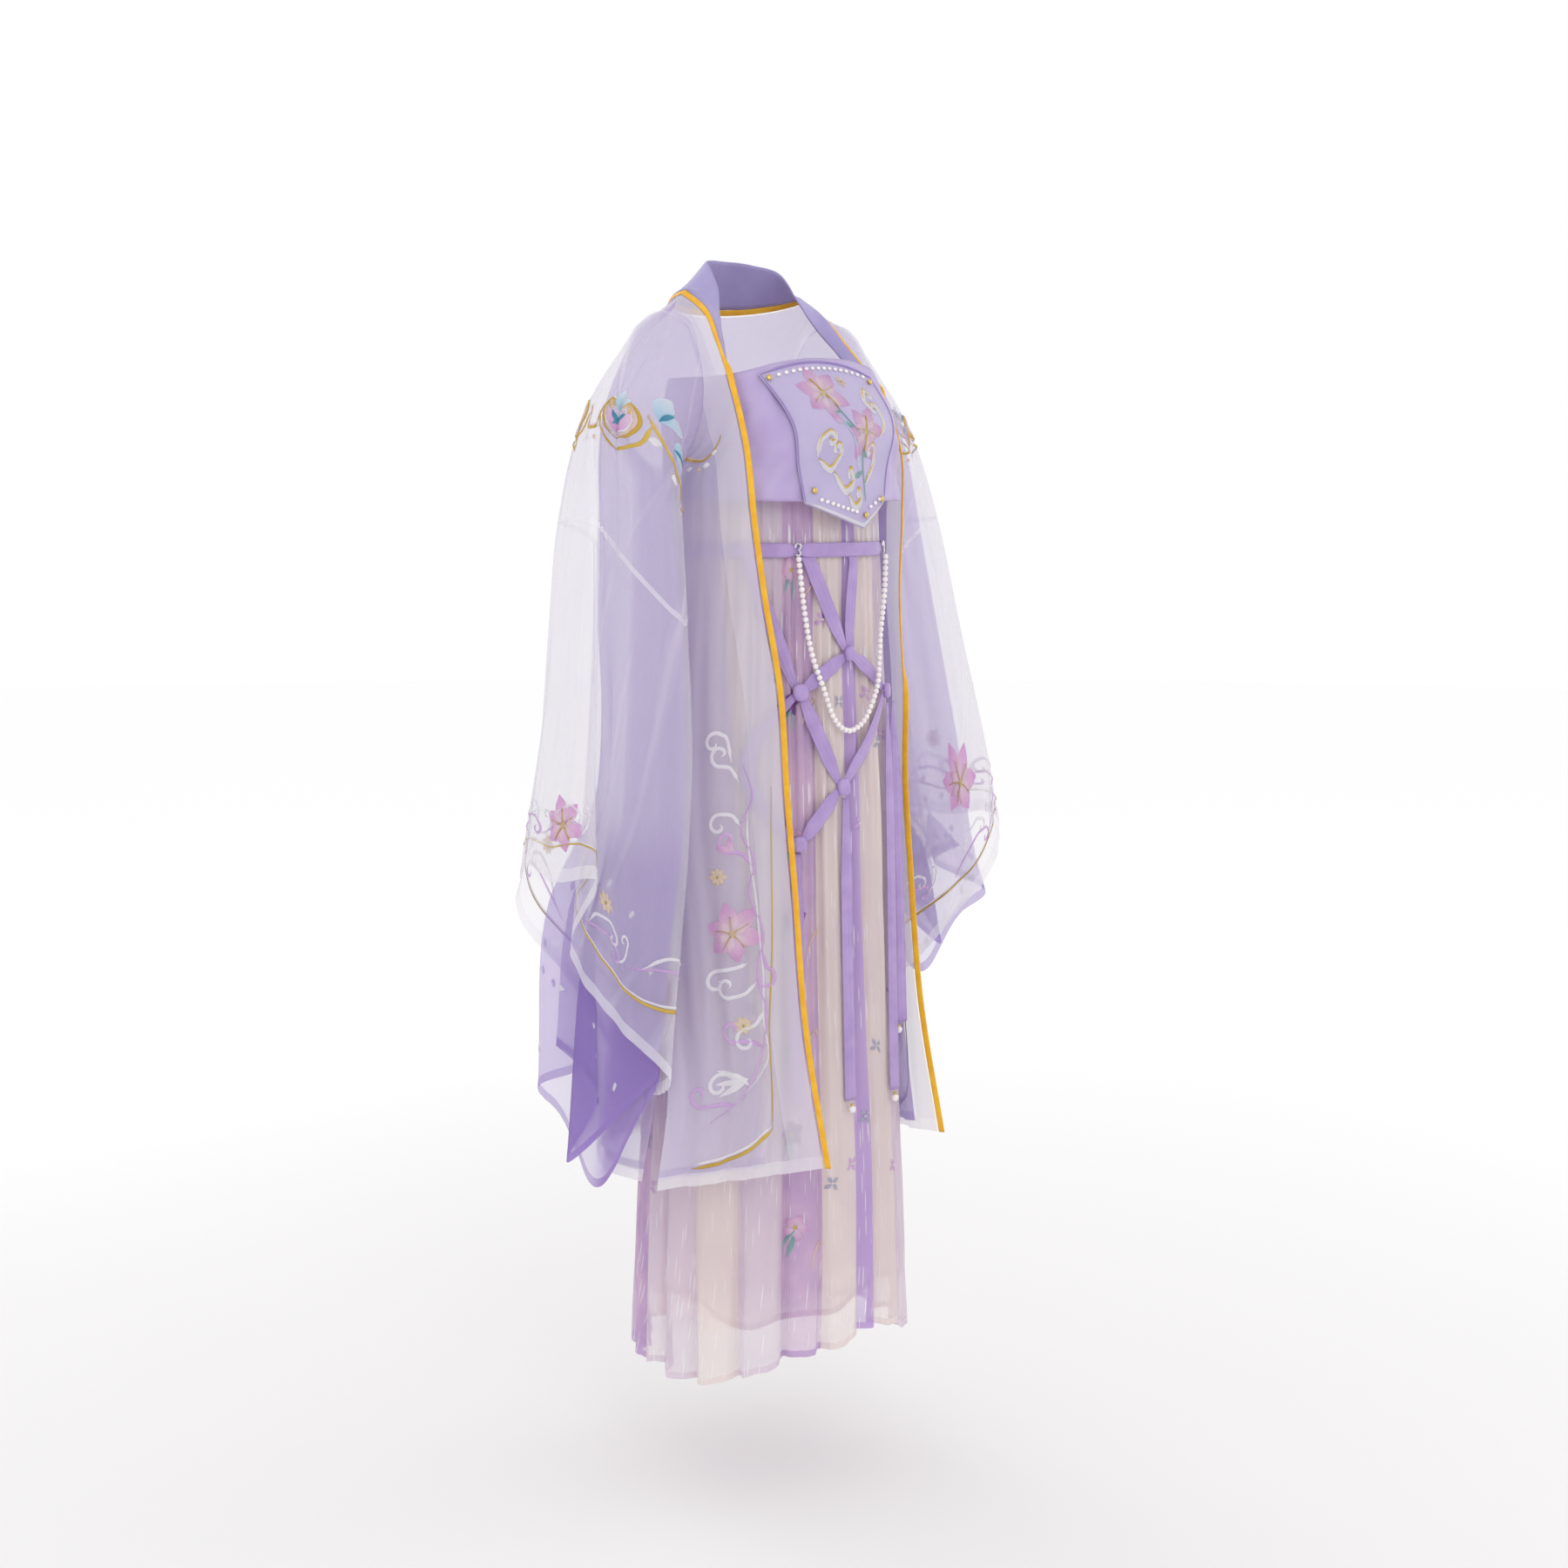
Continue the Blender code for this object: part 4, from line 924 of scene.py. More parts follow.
def bandAlong(path, headings, widths, wall, side, name):
    # a soft rolled band: an oval section swept along the path
    path, headings = np.array(path), np.array(headings)
    along = np.gradient(path, axis=0)
    along /= np.linalg.norm(along, axis=1, keepdims=True)
    out = np.cross(along, headings)
    out /= np.linalg.norm(out, axis=1, keepdims=True)
    rings = []
    for i, point in enumerate(path):
        ring = []
        for a in np.linspace(0, 2 * math.pi, binding["sides"] + 1)[:-1]:
            c, s = math.cos(a), math.sin(a)
            across = widths[i] / 2 * math.copysign(abs(c) ** binding["round"], c)
            lift = wall / 2 * math.copysign(abs(s) ** binding["round"], s)
            ring.append(point + headings[i] * (widths[i] / 2 + across) + out[i] * lift)
        rings.append(ring)
    grid = np.array(rings) * (mirrorX if side > 0 else 1.0)
    mesh = gridMesh(name, grid, closed=True, flip=side > 0)
    capEnds(mesh, len(grid), binding["sides"], side > 0)
    return mesh


def capEnds(mesh, rows, columns, flip=False):
    work = bmesh.new()
    work.from_mesh(mesh)
    work.verts.ensure_lookup_table()
    for start, backwards in ((0, not flip), ((rows - 1) * columns, flip)):
        ring = [work.verts[start + i] for i in range(columns)]
        work.faces.new(ring[::-1] if backwards else ring)
    bmesh.ops.recalc_face_normals(work, faces=work.faces)
    work.to_mesh(mesh)
    work.free()


def makeBindings():
    steps = sorted({*np.linspace(0, 0.15, 40), *np.linspace(0.15, 1.0, 190)})
    path = edgePath(34, steps)
    top, low = collarTop(90), collarLow(90)
    headings = []
    for i, point in enumerate(path):
        if point[2] > binding["collarEnd"] or i < 34:
            headings.append(bindingHeading(point, top[int(np.argmin(np.linalg.norm(low - point, axis=1)))]))
        else:
            headings.append(np.array(binding["heading"]))
    headings = np.array(headings)
    for _ in range(12):
        headings[1:-1] = (headings[:-2] + headings[1:-1] + headings[2:]) / 3
    headings /= np.linalg.norm(headings, axis=1, keepdims=True)
    path = path - [0, 0, originHeight] + headings * binding["stand"]
    path[0, 0] = 0.0
    headings[0, 0] = 0.0
    headings /= np.linalg.norm(headings, axis=1, keepdims=True)
    for side, label in ((-1, "right"), (1, "left")):
        if side > 0:
            # the left edge rolls outward below the chest, and is turned under above the waist
            share = np.clip((binding["rollTop"] - originHeight - path[:, 2:]) / binding["rollFade"], 0, 1)
            headings = headings * (1 - share) + np.array(binding["leftRoll"]) * share
            heights = path[:, 2:] + originHeight
            under = np.clip((binding["underTop"] - heights) / 0.04, 0, 1)
            under = under * np.clip((heights - binding["underFoot"]) / 0.06, 0, 1)
            headings = headings * (1 - under) + np.array(binding["leftUnder"]) * under
            headings /= np.linalg.norm(headings, axis=1, keepdims=True)
            widths = binding["width"] * (1 - binding["underNarrow"] * under[:, 0])
        else:
            widths = np.full(len(path), binding["width"])
        mesh = bandAlong(path, headings, widths, binding["wall"], side, "goldPiping_" + label)
        piece("goldPiping_" + label, mesh, goldCloth, "gold_binding", "gold_piping_" + label)


def makeCollar():
    samples = 70
    top, low = collarTop(samples), collarLow(samples)
    half = []
    for upper, lower in zip(top, low):
        lower = lower + bindingHeading(lower, upper) * (binding["width"] + binding["stand"])
        room = np.linalg.norm(upper - lower)
        line = []
        for t in np.linspace(0, 1, 11):
            point = lower + (upper - lower) * t
            point[2] += binding["collarArch"] * room * t * (1 - t)
            line.append(point)
        half.append(line)
    half = np.array(half)[:-1] - [0, 0, originHeight]
    other = half[1:][::-1] * mirrorX
    grid = np.concatenate([other, half]).transpose(1, 0, 2)
    grid = movedOut(grid, creases(grid, 41, 0.0004, 0.05, 0.05))
    hang("collarBand", grid, collarCloth, "collar", ["collar_band"],
         wall=binding["collarWall"])


makeBindings()
makeCollar()
print("bindings and collar done")


# Sleeves

sleeveFolds = (
    # in mm: upper arm x, y, height; seam; forearm; cuff
    ("back", -5, 66, 1355,  0, 92, 1232,  0, 102, 978,  5, 107, 797),
    ("outer", -35, 36, 1370,  -40, 45, 1233,  -40, 32, 978,  -32, 12, 796),
    ("crest", -43, 8, 1375,  -53, -15, 1234,  -52, -40, 974,  -34, -57, 806),
    ("return", -36, -8, 1375,  -37, -8, 1226,  -30, -6, 950,  -14, 8, 706),
    ("face", -28, -34, 1365,  -33, -60, 1175,  -24, -62, 880,  -9, -71, 620),
    ("front", 5, -70, 1340,  11, -101, 1114,  31, -116, 900,  27, -120, 549),
    ("innerFront", 30, -58, 1290,  39, -76, 1120,  47, -92, 860,  30, -96, 535),
    ("inner", 34, -10, 1250,  43, -10, 1140,  45, -15, 860,  29, -36, 570),
    ("innerBack", 29, 36, 1290,  37, 45, 1180,  36, 50, 880,  29, 50, 660),
    ("backFlick", 14, 60, 1330,  20, 78, 1222,  17, 98, 930,  8, 122, 752),
)
sleeveStations = (0.0, 0.20, 0.42, 0.70, 1.0)
liningFolds = (
    # in mm: upper arm x, y, height; middle; forearm; below the cuff; hem
    ("back", -7, 34, 1355,  0, 32, 1150,  14, 26, 890,  0, 79, 755,  13, 92, 516),
    ("nearCrest", -22, 20, 1360,  -14, 12, 1150,  3, 8, 880,  5.5, 18, 755,  13, 18, 560),
    ("notch", -27, 4, 1360,  -19, 0, 1150,  -2, -3, 880,  0.5, 43, 755,  7, 52, 580),
    ("hidden", -27, -12, 1360,  -22, -16, 1140,  -7, -18, 870,  -4.5, -10, 755,  -1, -24, 535),
    ("lobe", -20, -30, 1350,  -19, -38, 1130,  -5, -36, 860,  -10, 2, 740,  -9, 22, 440),
    ("front", 6, -60, 1330,  13, -92, 1110,  31, -106, 860,  20, -108, 720,  24, -104, 553),
    ("innerFront", 22, -46, 1290,  31, -70, 1110,  40, -83, 850,  25, -86, 710,  23, -74, 508),
    ("inner", 27, -12, 1262,  36, -12, 1130,  36, -22, 850,  12, -30, 690,  22, 4, 404),
    ("innerBack", 14, 26, 1300,  25, 24, 1140,  29, 18, 870,  12, 52, 720,  18, 62, 492),
)
liningStations = (0.0, 0.18, 0.40, 0.66, 0.80, 1.0)
leftFull = ("back", "nearCrest", "innerBack")  # folds of the left lining that reach out as the organza does
leftFill = (0.86, 0.88, 0.80)  # share of the organza's reach they take, down to the forearm
axisStations, liningAxis = (0.20, 0.42, 0.70, 1.0), (0.18, 0.40, 0.66, 1.0)
sleevePlaces = {
    # axis runs from the upper arm through seam and forearm to the cuff
    "right": {"side": -1, "turn": 0.0, "cuffLift": 0.0, "hemLift": 0.0, "flick": 1.0,
              "liningCut": (0.38, 1.05),
              "axis": ((-0.215, 0.020), (-0.235, 0.020), (-0.262, 0.025), (-0.288, 0.035))},
    "left": {"side": 1, "turn": -163.0, "cuffLift": 0.030, "hemLift": 0.208, "flick": 0.88,
             "liningCut": (0.36, 0.80),
             "axis": ((0.216, -0.004), (0.243, -0.007), (0.277, -0.041), (0.3015, -0.056))},
}
sleeveHead = {"depth": 0.067, "width": 0.041, "gap": 0.0006}  # how the upper arm's row lies on the armhole
sleeveCrease, liningCrease = (0.0018, 0.45, 0.034), (0.0008, 0.30, 0.028)  # depth, height and width


def turned(x, y, degrees):
    c, s = math.cos(math.radians(degrees)), math.sin(math.radians(degrees))
    return c * x - s * y, s * x + c * y


def foldPlaces(row):
    return np.array(row[1:]).reshape(-1, 3) / 1000


def armholeStart(x, y, side, inset):
    turn = math.atan2(y / sleeveHead["depth"], side * x / sleeveHead["width"])
    return np.array([
        side * (robe["armPlane"] + sleeveHead["gap"]),
        robe["armCentre"][0] + (robe["armRadii"][0] - inset) * math.sin(turn),
        robe["armCentre"][1] + (robe["armRadii"][1] - inset) * math.cos(turn),
    ])


def sleeveLines(place, folds, stations, axisAt, inset, isLining):
    side = place["side"]
    lines = []
    for n, row in enumerate(folds):
        name, numbers = row[0], foldPlaces(row)
        if isLining and side > 0 and name in leftFull:
            for i, fill in enumerate(leftFill):
                numbers[i, :2] = fill * foldPlaces(sleeveFolds[n])[i, :2]
        if name == "backFlick":
            numbers[-1, :2] *= place["flick"]
        line = [armholeStart(*turned(*numbers[0, :2], place["turn"]), side, inset)]
        for (x, y, height), along in zip(numbers, stations[1:]):
            axisX, axisY = hermite(axisAt, place["axis"], along)
            x, y = turned(x, y, place["turn"])
            lift = place["hemLift" if isLining else "cuffLift"] * max(0.0, (along - 0.66) / 0.34) ** 1.5
            line.append(np.array([axisX + x, axisY + y, height + lift]))
        lines.append(line)
    return lines


def sleeveGrid(place, folds, stations, axisAt, columns, crease, seed, inset=0.0, isLining=False):
    lines = sleeveLines(place, folds, stations, axisAt, inset, isLining)
    rings = [ringThrough([hermite(stations, line, along) for line in lines], 14) - [0, 0, originHeight]
             for along in np.linspace(0, 1, 60)]
    return settled(finer(np.array(rings), 190, columns, True), seed, *crease, True)


def makeSleeves():
    for n, (label, place) in enumerate(sleevePlaces.items()):
        grid = sleeveGrid(place, sleeveFolds, sleeveStations, axisStations, 180, sleeveCrease, 51 + n)
        inner = sleeveGrid(place, liningFolds, liningStations, liningAxis, 150, liningCrease, 61 + n,
                           0.002, True)
        sheets["sleeve_" + label], sheets["liningSleeve_" + label] = grid, inner
        hang("sleeve_" + label, grid, sleeveOrganza, "organza",
             ["sleeve_upper_" + label, "sleeve_lower_" + label], closed=True)
        hang("liningSleeve_" + label, inner, sleeveLining, "lining", ["lining_sleeve_" + label],
             closed=True)


makeSleeves()
print("sleeves done")


# Skirt

skirtShape = {
    "turn": -4.0, "top": 1.275, "pleats": 36, "steps": 16, "cutWidth": 0.040,
    "liningHem": 0.235, "liningInset": 0.019, "liningDrop": 0.02, "hemWander": 0.005,
    "crease": (0.0007, 0.30, 0.016), "waves": ((7, 0.30), (11, 0.34), (17, 0.30), (23, 0.24)),
    "valleys": (0, 2, 4, 5.6, 7, 8.5, 10, 12, 14, 16, 18, 19, 21, 23.2, 25.7, 28, 30.1, 31.8, 34),
}
skirtHem = (
    # angle, height
    (-184.0, 0.168),
    (-130.0, 0.160),
    (-110.0, 0.153),
    (-85.0, 0.147),
    (-63.0, 0.158),
    (-46.0, 0.176),
    (-30.0, 0.188),
    (-15.0, 0.192),
    (0.0, 0.199),
    (15.0, 0.196),
    (32.0, 0.174),
    (60.0, 0.168),
    (176.0, 0.168),
)
pleatDepth = ((1.275, 0.003), (1.20, 0.003), (1.10, 0.006), (0.80, 0.010), (0.26, 0.014), (0.13, 0.026))
skirtPanels = (
    # name, colour, pleats
    ("cream_back", "cream", 4),
    ("purple_right", "purple", 3),
    ("lilac_right", "lilac", 3),
    ("cream_right", "cream", 2),
    ("lilac_front", "lilac", 2),
    ("printed_front", "purple", 2),
    ("cream_front", "cream", 2),
    ("lavender_front", "lavender", 1),
    ("cream_middle", "cream", 2),
    ("lilac_left", "lilac", 7),
    ("cream_left", "cream", 8),
)
skirtLooks = {
    "cream": {"colour": (0.91, 0.81, 0.76), "shade": (0.86, 0.74, 0.73), "hem": (0.86, 0.76, 0.74)},
    "lilac": {"colour": (0.82, 0.71, 0.79), "shade": (0.75, 0.64, 0.76), "hem": (0.78, 0.66, 0.77)},
    "lavender": {"colour": (0.62, 0.45, 0.80), "shade": (0.56, 0.40, 0.76), "hem": (0.60, 0.42, 0.78)},
    "purple": {"colour": (0.60, 0.42, 0.68), "shade": (0.76, 0.54, 0.72), "hem": (0.60, 0.42, 0.70)},
}
liningSkirtLook = {"colour": (0.82, 0.71, 0.80), "shade": (0.78, 0.67, 0.78), "hem": (0.84, 0.74, 0.82)}
gauzeLook = {
    "alpha": 0.86, "hemBand": 0.0085, "hemAlpha": 0.95, "sheerHem": 0.26, "glow": 0.30,
    "lurex": (0.97, 0.97, 1.0), "lurexCells": (330.0, 14.0, 1.0), "lurexSize": 0.21,
}


def skirtFinish(name, look, lurex=True):
    # crinkled gauze with dashes of silver thread, sheer above a denser hem
    made = Finish(name, {"Sheen Weight": 0.3, "Sheen Roughness": 0.4, "Specular IOR Level": 0.35})
    rim, cut = made.layer("rim"), made.layer("cut")
    toHem = rim.axis(1)
    band = toHem < gauzeLook["hemBand"]
    cloud = made.place().noise(14.0, 3.0)
    crinkle = cut.stretched((260.0, 22.0, 1.0)).noise(1.0, 2.0)
    colour = cloud.ramp(0.3, 0.7).blend(look["colour"], look["shade"])
    colour = band.blend(colour, look["hem"])
    if lurex:
        cell = cut.node("ShaderNodeTexVoronoi", {"feature": "F1"},
                        {"Vector": cut.stretched(gauzeLook["lurexCells"]), "Scale": 1.0})
        dash = cell < gauzeLook["lurexSize"]
        colour = dash.blend(colour, gauzeLook["lurex"])
        made.feed("Metallic", dash * 0.92)
        made.feed("Roughness", 0.55 - dash * 0.27)
    made.feed("Base Color", colour)
    alpha = gauzeLook["alpha"]
    body = toHem.ramp(0.05, 0.09, alpha - gauzeLook["sheerHem"], alpha) + (cloud - 0.5) * 0.1
    made.veil(body | band * gauzeLook["hemAlpha"], gauzeLook["glow"], look["colour"])
    made.bump(crinkle * 0.8 + threads(made, 0.0012) * 0.2, 0.0006, 0.7)
    return made.material


def uneven(pleat, seed, drift=0.0):
    # a smooth value about -1 to 1 that changes round the skirt and meets itself behind
    total = 0.0
    for k, size in skirtShape["waves"]:
        turns = 2 * math.pi * pleat / skirtShape["pleats"]
        total += size * math.sin(k * turns + 1.7 * k + seed + drift * k * 0.25)
    return total


def skirtPoint(pleat, down):
    turn = pleat / skirtShape["pleats"]
    angle = skirtShape["turn"] - 180 + 360 * (turn + 0.004 * math.sin(6 * math.pi * turn))
    hem = float(tableAt(skirtHem, angle)[0]) + skirtShape["hemWander"] * uneven(pleat, 5.0)
    height = skirtShape["top"] + (hem - skirtShape["top"]) * down
    lean = 0.25 * uneven(pleat, 0.0, down) * down
    half = skirtShape["pleats"] / 2
    near = min(abs((pleat + 0.5 * lean - v + half) % (2 * half) - half) for v in skirtShape["valleys"])
    gathers = abs(math.cos(math.pi * (1.5 * pleat + lean))) ** 3 * (1 - down) ** 1.5
    valley = math.exp(-((near / 0.26) ** 2)) + 0.8 * gathers
    broad = 0.5 + 0.5 * math.cos(math.pi * (pleat + 1.6 * lean) + 0.6)
    minor = 0.12 * math.sin(4 * math.pi * pleat + 2.2 * uneven(pleat, 2.0, down)) * (1 - down)
    depth = float(tableAt(pleatDepth, height)[0]) * (1.10 + 0.45 * uneven(pleat, 9.0, down * 0.5))
    low = 0.30 * down
    return columnPoint(angle, height, -depth * max(min(valley, 1.0) * (1 - low) + broad * low + minor, 0.0))


def makeSkirt():
    first = 0
    finishes = {colour: skirtFinish("gauze_" + colour, look) for colour, look in skirtLooks.items()}
    for n, (name, colour, pleats) in enumerate(skirtPanels):
        steps = pleats * skirtShape["steps"]
        places = np.linspace(first, first + pleats, steps + 1)
        grid = np.array([[skirtPoint(p, down) for p in places] for down in np.linspace(0, 1, 24)])
        grid = finer(grid, 130, steps + 1)
        field = creases(grid, 71 + n, *skirtShape["crease"]) * easedDown(130, 0.3)
        edges = np.clip(np.minimum(np.arange(steps + 1), np.arange(steps + 1)[::-1]) / 3, 0, 1)
        grid = movedOut(grid, field * edges[None, :])
        sheets["skirt_" + name] = grid
        hang("gauze_" + name, grid, finishes[colour], "skirt_" + colour, ["skirt_" + name])
        first += pleats


def makeSkirtLining():
    ring = []
    top = skirtShape["top"] - skirtShape["liningDrop"]
    for down in np.linspace(0, 1, 60):
        row = []
        for a in np.arange(0, 360, 2.5):
            turn = math.radians(a)
            hem = skirtShape["liningHem"] + 0.012 * math.sin(3 * turn + 1) + 0.008 * math.sin(7 * turn)
            stand = 0.002 * math.sin(18 * turn) - skirtShape["liningInset"]
            row.append(columnPoint(a, top + (hem - top) * down, stand))
        ring.append(row)
    finish = skirtFinish("skirtLining", liningSkirtLook, False)
    hang("skirtLining", np.array(ring), finish, "skirt_lining", ["skirt_lining"],
         closed=True)


makeSkirt()
makeSkirtLining()
print("skirt done")


# Chest piece

chestSections = (
    # height, half width, half depth, centre y
    (1.200, 0.160, 0.138, -0.045),
    (1.260, 0.155, 0.131, -0.045),
    (1.300, 0.152, 0.126, -0.045),
    (1.350, 0.151, 0.127, -0.045),
    (1.400, 0.147, 0.111, -0.036),
    (1.440, 0.142, 0.092, -0.030),
)
chestShape = {"power": 2.6, "topFront": 1.437, "topSide": 1.412, "bottom": 1.260, "stand": 0.0044,
              "stud": 0.0038, "tip": 1 / 3, "crease": (0.0016, 0.07, 0.06), "wrapWall": 0.0012,
              "panelWall": 0.0016}
chestPanelRows = (
    # height at the middle, at the side, half width, middle x
    (1.4330, 1.4145, 0.094, -0.029),
    (1.3800, 1.3700, 0.0955, -0.0155),
    (1.3200, 1.3150, 0.083, -0.0205),
    (1.2260, 1.2570, 0.069, -0.029),
)
studs = ((-0.93, 0.06), (0.84, 0.09), (-0.80, 0.89), (0.36, 0.95), (0.86, 0.94))  # across, down
satinLook = {"colour": (0.48, 0.385, 0.63), "shade": (0.43, 0.33, 0.59), "roughness": 0.34, "sheen": 0.2,
             "pitch": 0.0006, "cloudScale": 16.0, "bump": 0.3, "specular": 0.5, "streak": 0.4}
panelLook = {"colour": (0.50, 0.43, 0.64), "shade": (0.45, 0.39, 0.60), "roughness": 0.48, "sheen": 0.25,
             "pitch": 0.0007, "cloudScale": 20.0, "bump": 0.45}
satin = clothFinish("lavenderSatin", satinLook)
panelCloth = clothFinish("chestPanelCloth", panelLook)
brass = metalFinish("studBrass", {"colour": (0.72, 0.52, 0.16), "roughness": 0.28})


def chestPoint(angle, height):
    return world(*superellipse(*tableAt(chestSections, height), angle, chestShape["power"]), height)


def chestFront(x, height, stand):
    a, b, centreY = tableAt(chestSections, height)
    a, b = a + stand, b + stand
    power = chestShape["power"]
    return world(x, centreY - b * (1 - min(abs(x / a), 0.999) ** power) ** (1 / power), height)


def panelPoint(across, down):
    middle, side, half, centre = hermite(np.linspace(0, 1, 4), chestPanelRows, down)
    tip = chestShape["tip"] * down**3
    away = abs(across - tip) / (1 - math.copysign(tip, across - tip))
    height = middle + (side - middle) * away ** (2.2 - 1.1 * down)
    return chestFront(centre + half * across, height, chestShape["stand"])


def makeChest():
    wrap = []
    for down in np.linspace(0.0, 1.0, 34):
        ring = []
        for angle in np.arange(0, 360, 2.5):
            front = max(0.0, math.cos(math.radians(angle))) ** 2
            top = chestShape["topSide"] + (chestShape["topFront"] - chestShape["topSide"]) * front
            ring.append(chestPoint(angle, top + (chestShape["bottom"] - top) * down))
        wrap.append(ring)
    wrap = np.array(wrap)
    pull = creases(wrap, 81, *chestShape["crease"], True) * easedDown(34, 0.2)
    hang("chestWrap", movedOut(wrap, pull, True), satin, "satin", ["chest_wrap"],
         True, chestShape["wrapWall"])
    grid = np.array([[panelPoint(a, d) for a in np.linspace(-1, 1, 85)] for d in np.linspace(0, 1, 71)])
    sheets["chestPanel"] = grid
    hang("chestPanel", grid, panelCloth, "panel", ["chest_panel"],
         wall=chestShape["panelWall"])
    for number, (across, down) in enumerate(studs, 1):
        centre = panelPoint(across, down)
        side, below = panelPoint(across + 0.02, down), panelPoint(across, down + 0.02)
        normal = np.cross(side - centre, below - centre)
        normal *= -1 if normal[1] > 0 else 1
        normal /= np.linalg.norm(normal)
        radius = chestShape["stud"]
        middle = centre + normal * (radius * 0.6 + 0.0006)
        mesh = beadMesh(f"stud_{number}", [middle], radius, (1, 1, 0.6), [normal], 24, 14)
        piece(f"stud_{number}b", mesh, brass, "stud", f"stud_{number}")


makeChest()
print("chest piece done")


# Belt, net, hooks and tail pearls

netShape = {"ribbon": 0.019, "beltWidth": 0.018, "beltHeight": 1.200, "pearl": 0.0048, "hooks": (-34.0, 33.5),
            "tuck": 1.1930, "into": 0.62, "stand": 0.0030, "beltWall": 0.0010, "wall": 0.0009,
            "tailWidth": 0.95, "cap": 0.0026, "nip": 0.38, "nipReach": 4.0, "roll": 0.0012, "gather": 0.0010,
            "bulge": 0.0016, "bulgeWander": 0.0010, "knotStand": 0.0070, "knotDepth": 0.0050,
            "knotPower": 0.72, "wraps": ((0.25, 0.84), (0.85, 0.98), (-0.55, 0.88))}
knots = (
    # name, angle, height, half width, half height
    ("k1", -3.5, 1.0700, 0.0085, 0.0095),
    ("k2", -33.0, 1.0250, 0.0105, 0.0110),
    ("k3", 28.0, 1.0180, 0.0090, 0.0100),
    ("k4", -10.0, 0.9040, 0.0095, 0.0110),
    ("k5", -34.5, 0.8370, 0.0095, 0.0100),
)
links = (
    # name, start angle and height, end angle and height, sideways bow in degrees
    ("belt_k1_right", -28.5, 1.1960, -7.5, 1.0820, 0.0),
    ("belt_k1_left", 1.5, 1.1960, -2.0, 1.0830, 0.0),
    ("belt_k2", -64.0, 1.1960, -38.5, 1.0370, 0.0),
    ("k1_k3", 1.8, 1.0640, 23.0, 1.0280, 0.0),
    ("k1_k2", -8.2, 1.0640, -27.5, 1.0330, 0.0),
    ("k2_k4", -29.5, 1.0120, -14.0, 0.9160, 0.0),
    ("k3_k4", 22.0, 1.0080, -5.5, 0.9150, 0.0),
    ("k4_k5", -15.0, 0.8950, -29.0, 0.8470, 0.0),
    ("k2_k5_side", -39.5, 1.0150, -40.0, 0.8470, -26.0),
)
tails = (
    # name, angle at the top and the end, height of the top and the end, turn off the pleats, stand
    ("tail_k4", -8.0, -9.0, 0.8900, 0.5060, 0.0, 0.0030),
    ("tail_k3", 35.0, 29.0, 1.0030, 0.5860, 52.0, 0.0095),
    ("tail_k3_back", 28.5, 19.5, 1.0020, 0.5020, 24.0, 0.0060),
    ("tail_k5", -35.5, -36.0, 0.8250, 0.5100, 0.0, 0.0030),
)
pearlTails = ("tail_k4", "tail_k3", "tail_k3_back")
ribbonLook = {"colour": (0.44, 0.31, 0.60), "shade": (0.38, 0.26, 0.54), "roughness": 0.42, "sheen": 0.3,
              "pitch": 0.0008, "cloudScale": 40.0, "bump": 0.5}
ribbon = clothFinish("lavenderRibbon", ribbonLook)


def strip(route, width, stand, startNarrow, endNarrow, seed, turn=0.0):
    # a flat ribbon on the pleats, softly rolled along its middle
    centres = [columnPoint(a, h, stand) for a, h in route]
    grid = []
    for i, centre in enumerate(centres):
        along = centres[min(i + 1, len(centres) - 1)] - centres[max(i - 1, 0)]
        along /= np.linalg.norm(along)
        out = columnPoint(*route[i], stand + 0.01) - centre
        out /= np.linalg.norm(out)
        across = np.cross(along, out)
        across /= np.linalg.norm(across)
        t = i / (len(centres) - 1)
        angle = math.radians(turn) * min(t / 0.12, 1.0)
        c, w = math.cos(angle), math.sin(angle)
        across, out = across * c - out * w, out * c + across * w
        narrow = startNarrow + (1 - startNarrow) * min(t / 0.25, 1.0)
        narrow = min(narrow, endNarrow + (1 - endNarrow) * min((1 - t) / 0.25, 1.0))
        half = width / 2 * narrow
        bulge = netShape["bulge"] + netShape["bulgeWander"] * math.sin(9 * t + seed)
        line = []
        for s in np.linspace(1, -1, 13):
            lift = bulge * (1 - s * s) - 0.0008 * math.cos(3 * math.pi * s) * (1 - narrow * 0.6)
            point = centre + across * half * s
            # behind the belt the ribbon lies flat on the pleats
            free = min(max((netShape["tuck"] - originHeight - point[2]) / 0.008, 0.0), 1.0)
            line.append(point + out * (lift * free - (stand - 0.0009) * (1 - free)))
        grid.append(line)
    return np.array(grid)


def makeBelt():
    half = netShape["beltWidth"] / 2
    rows = []
    for h in np.linspace(half, -half, 13):
        row = []
        for a in np.arange(-180, 180, 2.0):
            nip = sum(math.exp(-((a - at) / netShape["nipReach"]) ** 2) for at in netShape["hooks"])
            roll = netShape["roll"] * (1 - (h / half) ** 2) + netShape["gather"] * nip * math.cos(h * 1400)
            height = netShape["beltHeight"] + h * (1 - netShape["nip"] * nip)
            row.append(columnPoint(a, height, netShape["stand"] + roll))
        rows.append(row)
    hang("beltRibbon", np.array(rows), ribbon, "ribbon", ["belt"],
         True, netShape["beltWall"])


def routed(angle1, height1, angle2, height2, count, bow=0.0):
    return [(angle1 + (angle2 - angle1) * t + bow * math.sin(math.pi * t), height1 + (height2 - height1) * t)
            for t in np.linspace(0, 1, count)]


